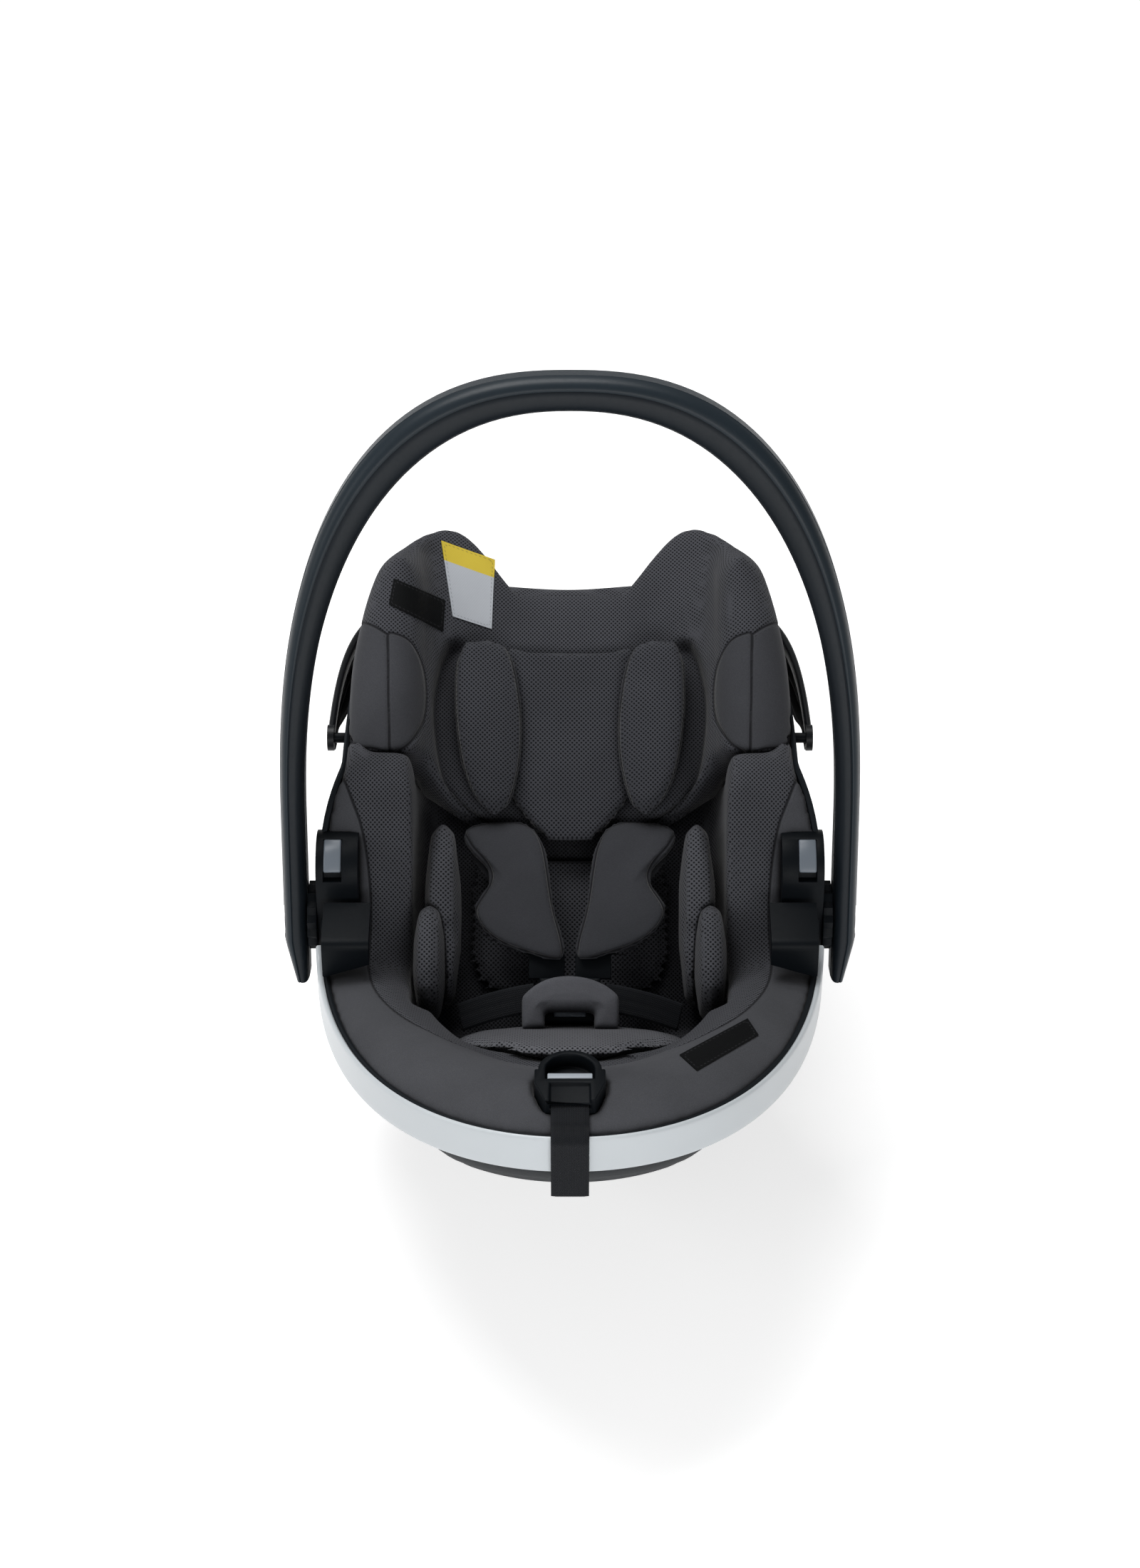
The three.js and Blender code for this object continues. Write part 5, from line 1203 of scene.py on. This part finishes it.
folds = [(catmull([(side * x, s) for x, s in HOLLOW], 40, False), HOLLOW_DEEP, HOLLOW_BREADTH)
         for side, _ in SIDES]
mark(headrest, sides, zone="outside", groove=0.7, folds=folds,
     where=lambda p, n: n @ BACK_AXES[2] > 0.0)
shade(headrest)
dress(headrest, wing_cloth, "headrest", "headrest_cover")
rounded("headrest_board", shell_plastic, 1.0)
rounded("headrest_release_lever", grey_plastic, 1.5)


# ---------------------------------------------------------------- seat cover

def seat_space():
    """The bowl and the two troughs that are left free for the child."""
    shares = [(0, 0), (0.02, 0.12), (0.05, 0.24), (0.1, 0.36), (0.2, 0.52), (0.35, 0.66),
              (0.5, 0.76), (0.68, 0.86), (0.85, 0.94), (1, 1), (1.7, 1.06)]
    rings = []
    for rise, spread in shares:
        a = np.linspace(0, 2 * math.pi, 97)[:-1]
        reach = np.where(np.sin(a) < 0, 118.0, 110.0)
        low, high = polar(a, 72, 38, 2.4), polar(a, 118, reach, 2.4)
        radius = lerp(low, high, spread)
        z = np.full_like(a, lerp(115, 212, rise))
        rings.append(np.stack([radius * np.cos(a), -50 + radius * np.sin(a), z], axis=-1))
    bowl = make("bowl", *loft(rings))
    under = make("under_back", *loft([from_back([(x, s, n) for x, s in
                 ((-300, -300), (300, -300), (300, 400), (-300, 400))]) for n in (-300, 0)]))
    cut(bowl, under)
    yield bowl
    for start, half in ((194, 155.0), (0, 118.0)):
        corner, floor = half * 0.4, half * 0.72
        t = np.linspace(0, 1, 10)
        right = [((1 - k) ** 2 * floor + 2 * (1 - k) * k * half + k * k * half, k * k * corner)
                 for k in t]
        profile = right + [(half, 260)] + [(-half, 260)] + [(-x, n) for x, n in right[::-1]]
        yield make("trough", *loft([from_back([(x, s, n) for x, n in profile])
                                    for s in (start, 430)]))


def cover_block():
    """The filling of the shell, on a straight-sided plinth, with the child's space cut out."""
    edge = rim(angles, 7.2)
    plinth = edge * [1, 1, 0] - [0, 0, 40]
    rings = [plinth, lerp(plinth, edge, 0.5), edge]
    for share in (0.985, 0.965, 0.94, 0.89, 0.84, 0.77, 0.7, 0.6, 0.5, 0.35, 0.2):
        rings.append(lining_top(angles, share))
    block = make("seat_cover_skin", *loft(rings))
    place, along, out = adjuster_axes()
    outline = [(-18, -36.4), (18, -36.4), (24.9, -16), (24.9, 0.4), (22.4, 0.4)]
    outline += [(22.4 * math.cos(a), 22.4 * math.sin(a)) for a in np.linspace(0, math.pi, 20)]
    outline += [(-22.4, 0.4), (-24.9, 0.4), (-24.9, -16)]
    pocket = [[place + [x, 0, 0] + along * y + out * z for x, y in outline] for z in (-12, 30)]
    return cut(block, *seat_space(), *hub_cutters(-2.5), make("pocket", *loft(pocket)))


cover = cover_block()
modify(cover, "REMESH", mode="VOXEL", voxel_size=3.0 * MM, adaptivity=0.0)
relax(cover, 5)
across, up, _ = np.abs(to_back(places(cover))).T
ear = smoothstep(30, 12, np.abs(up - 190)) * smoothstep(100, 112, across)
ease(cover, ear, 26)
across, up, height = np.abs(to_back(places(cover))).T
lift = smoothstep(146, 190, up) * (up < 205) * smoothstep(112, 124, across) * smoothstep(40, 85, height)
put(cover, places(cover) + lift[:, None] * (9 * BACK_AXES[2] + 3 * BACK_AXES[1]))
points = places(cover)
edge = rim(np.arctan2(points[:, 1], points[:, 0]), LINING_INSET)
share = np.hypot(points[:, 0], points[:, 1]) / np.hypot(edge[:, 0], edge[:, 1])
drop = (points[:, 2] < 90) | ((share > 0.97) & (points[:, 2] < edge[:, 2] - 9))
bm = bmesh.new()
bm.from_mesh(cover.data)
bm.verts.ensure_lookup_table()
bmesh.ops.delete(bm, geom=[v for v, d in zip(bm.verts, drop) if d], context="VERTS")
bm.to_mesh(cover.data)
bm.free()
cover.data.update()
points = places(cover)
put(cover, points + normals(cover) * (0.9 * wander(points, 60, 5))[:, None])
seat_under(cover, [back_pad, cushion, *rolls], 2.2, most=4.2)
lining = bare("foam_liner", "foam_body")
modify(lining, "REMESH", mode="VOXEL", voxel_size=4.0 * MM, adaptivity=0.0)
relax(lining, 2)
put(lining, places(lining) - normals(lining) * 4.5)
modify(cover, "SOLIDIFY", thickness=4.0 * MM, offset=-1.0, use_rim=True)

# The seam between the smooth rim fabric and the mesh, in plan: down the sides and round the lip.
SEAM = [(0, -195), (-31, -192), (-73, -188), (-102, -172), (-124, -145), (-143, -102),
        (-151, -60), (-150, -20), (-156, 5), (-170, 30), (-186, 80), (-190, 300)]
half_seam = catmull(SEAM, 120, False)
whole_seam = np.vstack([half_seam[::-1], half_seam[1:] * [-1, 1]])
mark(cover, [whole_seam], plane="plan", zone="inside", groove=0.8, where=lambda p, n: n[:, 2] > 0.1)
shade(cover)
dress(cover, cover_cloth, "seat", "seat_cover")
shade(lining)
dress(lining, foam, "seat", "foam_liner")


# ---------------------------------------------------------------- adjuster

rounded("adjuster_housing", trim_plastic, 1.6)
# The trigger's pale colour is painted highlight along its top edge.
rounded("adjuster_trigger", painted_highlight_plastic, 0.8)


# ---------------------------------------------------------------- canopy

HINGE = (93, 292)
BOW_HALF = 186
BOW_TOP = 301
BOW_DIP = 47
BOW_OUT = 9
BOW_START = math.atan2(HINGE[0], BOW_HALF)


def bow_point(angle, inset):
    """A point over the rim, level with the top of the bow."""
    x, y, _ = rim(angle, inset)
    middle = 1 - (rim(angle, -BOW_OUT)[0] / BOW_HALF) ** 2
    return x, y, BOW_TOP - BOW_DIP * middle


def bow_sweep(section, count):
    """Rings round the head end from a section of (inset, drop) pairs."""
    rings = []
    for a in even_angles(count, BOW_START, math.pi - BOW_START):
        lines = [(bow_point(a, inset), down) for inset, down in section]
        rings.append([(x, y, top - down) for (x, y, top), down in lines])
    return rings


bow_section = [(-4.0, 3.4), (-4.3, 1.4), (-5.2, 0.4), (-6.4, 0.0), (-7.6, 0.4), (-8.6, 1.4),
               (-9.0, 3.2), (-9.0, 8.8), (-8.6, 10.6), (-7.6, 11.6), (-6.4, 12.0),
               (-5.2, 11.6), (-4.3, 10.6), (-4.0, 8.8)]
bow = make("canopy_bow_moulding", *loft(bow_sweep(bow_section, 180)))
for side, _ in SIDES:
    boss = side_prism("boss", circle(*HINGE, 10, 48), side, BOW_HALF - 5, BOW_HALF)
    modify(bow, "BOOLEAN", operation="UNION", solver="EXACT", object=boss)
    bpy.data.objects.remove(boss)
    cut(bow, side_prism("bore", circle(*HINGE, 4.4, 32), side, BOW_HALF - 8, BOW_HALF + 4))
shade(bow, 40)
dress(bow, bow_plastic, "canopy", "canopy_bow")


# The hood's foot lies in a plane that rises towards the foot end; it stays there when the bow lifts.
HOOD_FOOT, HOOD_TOP, HOOD_SLOPE = 288.0, 305.0, 0.2


def canopy_cloth_piece():
    """The folded hood: one sheet gathered in soft folds between the bow and the shell."""
    rows, columns = 46, 200
    sweep = even_angles(columns, BOW_START + 0.02, math.pi - BOW_START - 0.02)
    points = []
    for j in range(rows):
        share = j / (rows - 1)
        for i, a in enumerate(sweep):
            end = smoothstep(0, 0.12, min(i, columns - 1 - i) / (columns - 1))
            fold = math.sin(share * math.pi * 5 + 0.9 * noise.noise(Vector((a * 4, share * 3, 1))))
            slack = end * math.sin(math.pi * share) ** 0.5
            inset = -4.6 + (3.6 * fold - 6.0) * slack
            inset += 1.2 * noise.noise(Vector((a * 9, share * 5, 4)))
            x, y, top = bow_point(a, inset)
            low = lerp(top - 22, HOOD_FOOT - HOOD_SLOPE * y, end)
            points.append((x, y, lerp(top - 12.8, low, share)))
    corners = [j * columns + i for j in range(rows - 1) for i in range(columns - 1)]
    faces = [(k, k + 1, k + columns + 1, k + columns) for k in corners]
    obj = make("canopy_sheet", points, faces)
    modify(obj, "SOLIDIFY", thickness=0.8 * MM, offset=0.0)
    return obj


hood = shade(canopy_cloth_piece())
mark(hood, zone=-1.0)
hood.data.materials.clear()
hood.data.materials.append(canopy_cloth)
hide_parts("canopy_fabric")
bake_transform(hood)


# ---------------------------------------------------------------- tags, blank

TAG_STEPS, TAG_LIFT, TAG_HALF_THICK = 14, 0.5, 0.35


def tag(name, carrier, corners, material, body, across_mm, along_mm):
    """A small blank cloth tag laid on its carrier where the camera sees its four corners."""
    tree = BVHTree.FromObject(carrier, bpy.context.evaluated_depsgraph_get())
    a, b, c, d = (np.array(p, float) for p in corners)
    centre = Vector((a + b + c + d) / 4 * MM)
    _, out, _, far = tree.ray_cast(camera.location, (centre - camera.location).normalized())
    rings, marks = [], []
    for v in np.linspace(0, 1, TAG_STEPS + 1):
        upper, lower, row = [], [], []
        for u in np.linspace(0, 1, TAG_STEPS + 1):
            p = (a * (1 - u) + b * u) * (1 - v) + (d * (1 - u) + c * u) * v
            way = (Vector(p * MM) - camera.location).normalized()
            hit, face, _, reach = tree.ray_cast(camera.location, way)
            if hit is not None and abs(reach - far) < 0.08:
                out, far = face, reach
            point = np.array(camera.location + way * far) / MM
            upper.append(point + np.array(out) * (TAG_LIFT + TAG_HALF_THICK))
            lower.append(point + np.array(out) * (TAG_LIFT - TAG_HALF_THICK))
            row.append((u * across_mm, v * along_mm,
                        min(u * across_mm, (1 - u) * across_mm, v * along_mm, (1 - v) * along_mm)))
        rings.append(upper + lower[::-1])
        marks += row + row[::-1]
    obj = make(name, *loft(rings))
    attribute = obj.data.attributes.new("strap", "FLOAT_VECTOR", "POINT")
    attribute.data.foreach_set("vector", np.array(marks, np.float32).ravel())
    shade(obj, 50)
    return dress(obj, material, body)


def seen(corners):
    """Points of the plane through the camera's target, as far right and up as the camera sees."""
    up = np.array([0, math.sin(ELEVATION), math.cos(ELEVATION)])
    return [np.array(TARGET) / MM + [x, 0, 0] + up * rise for x, rise in corners]


tag("tag_on_horn", headrest, seen([(-134, 132.9), (-94.4, 112.9), (-92.8, 135.6), (-130.3, 151.9)]),
    black_tag, "headrest", 42, 20)
tag("tag_by_horn", headrest, seen([(-87, 124), (-58, 114.5), (-55.9, 165.6), (-95.5, 179.9)]),
    pale_tag, "headrest", 36, 54)
tag("tag_on_lip", cover, seen([(93.9, -212.6), (139.3, -186.2), (131.4, -174.1), (81.2, -201)]),
    black_tag, "seat", 54, 18)


# ---------------------------------------------------------------- floor and light

def stage_piece():
    size = 12000
    floor = make("floor", [(-size, -size, 0), (size, -size, 0), (size, size, 0), (-size, size, 0)],
                 [(0, 1, 2, 3)])
    t = Tree("floor_white")
    light = t.nodes.new("ShaderNodeLightPath")
    seen_ray = t.math("MAXIMUM", light.outputs["Is Camera Ray"], light.outputs["Is Glossy Ray"])
    seen_ray = t.math("MAXIMUM", seen_ray, light.outputs["Is Transmission Ray"])
    t.shader.inputs["Base Color"].default_value = (0.9, 0.9, 0.9, 1)
    t.shader.inputs["Roughness"].default_value = 0.9
    t.shader.inputs["Specular IOR Level"].default_value = 0.0
    t.shader.inputs["Emission Color"].default_value = (1, 1, 1, 1)
    t.feed(t.shader.inputs["Emission Strength"], t.math("MULTIPLY", seen_ray, 0.6))
    floor.data.materials.append(t.material)


LAMP_TARGET = Vector((0, 0, 0.2))


def lamp(name, place, size, power):
    data = bpy.data.lights.new(name, "AREA")
    data.shape = "RECTANGLE"
    data.size, data.size_y = size
    data.energy = power
    obj = bpy.data.objects.new(name, data)
    bpy.context.scene.collection.objects.link(obj)
    obj.location = place
    obj.rotation_euler = (LAMP_TARGET - Vector(place)).to_track_quat("-Z", "Y").to_euler()
    return obj


stage_piece()
lamp("key", (-0.5, 0.8, 2.5), (1.8, 1.2), 46)
lamp("front", (0.3, -2.7, 1.0), (2.4, 1.0), 34)
lamp("side", (-2.2, -0.6, 1.2), (1.0, 1.0), 8)

world = bpy.data.worlds.new("studio")
bpy.context.scene.world = world
world.use_nodes = True
nodes, links = world.node_tree.nodes, world.node_tree.links
rays = nodes.new("ShaderNodeLightPath")
seen = nodes.new("ShaderNodeMath")
seen.operation = "MAXIMUM"
links.new(rays.outputs["Is Camera Ray"], seen.inputs[0])
links.new(rays.outputs["Is Transmission Ray"], seen.inputs[1])
level = nodes.new("ShaderNodeMapRange")
links.new(seen.outputs[0], level.inputs[0])
level.inputs[3].default_value = 0.16
level.inputs[4].default_value = 1.0
links.new(level.outputs[0], nodes["Background"].inputs["Strength"])
nodes["Background"].inputs["Color"].default_value = (1, 1, 1, 1)
bpy.context.scene.view_settings.view_transform = "Standard"
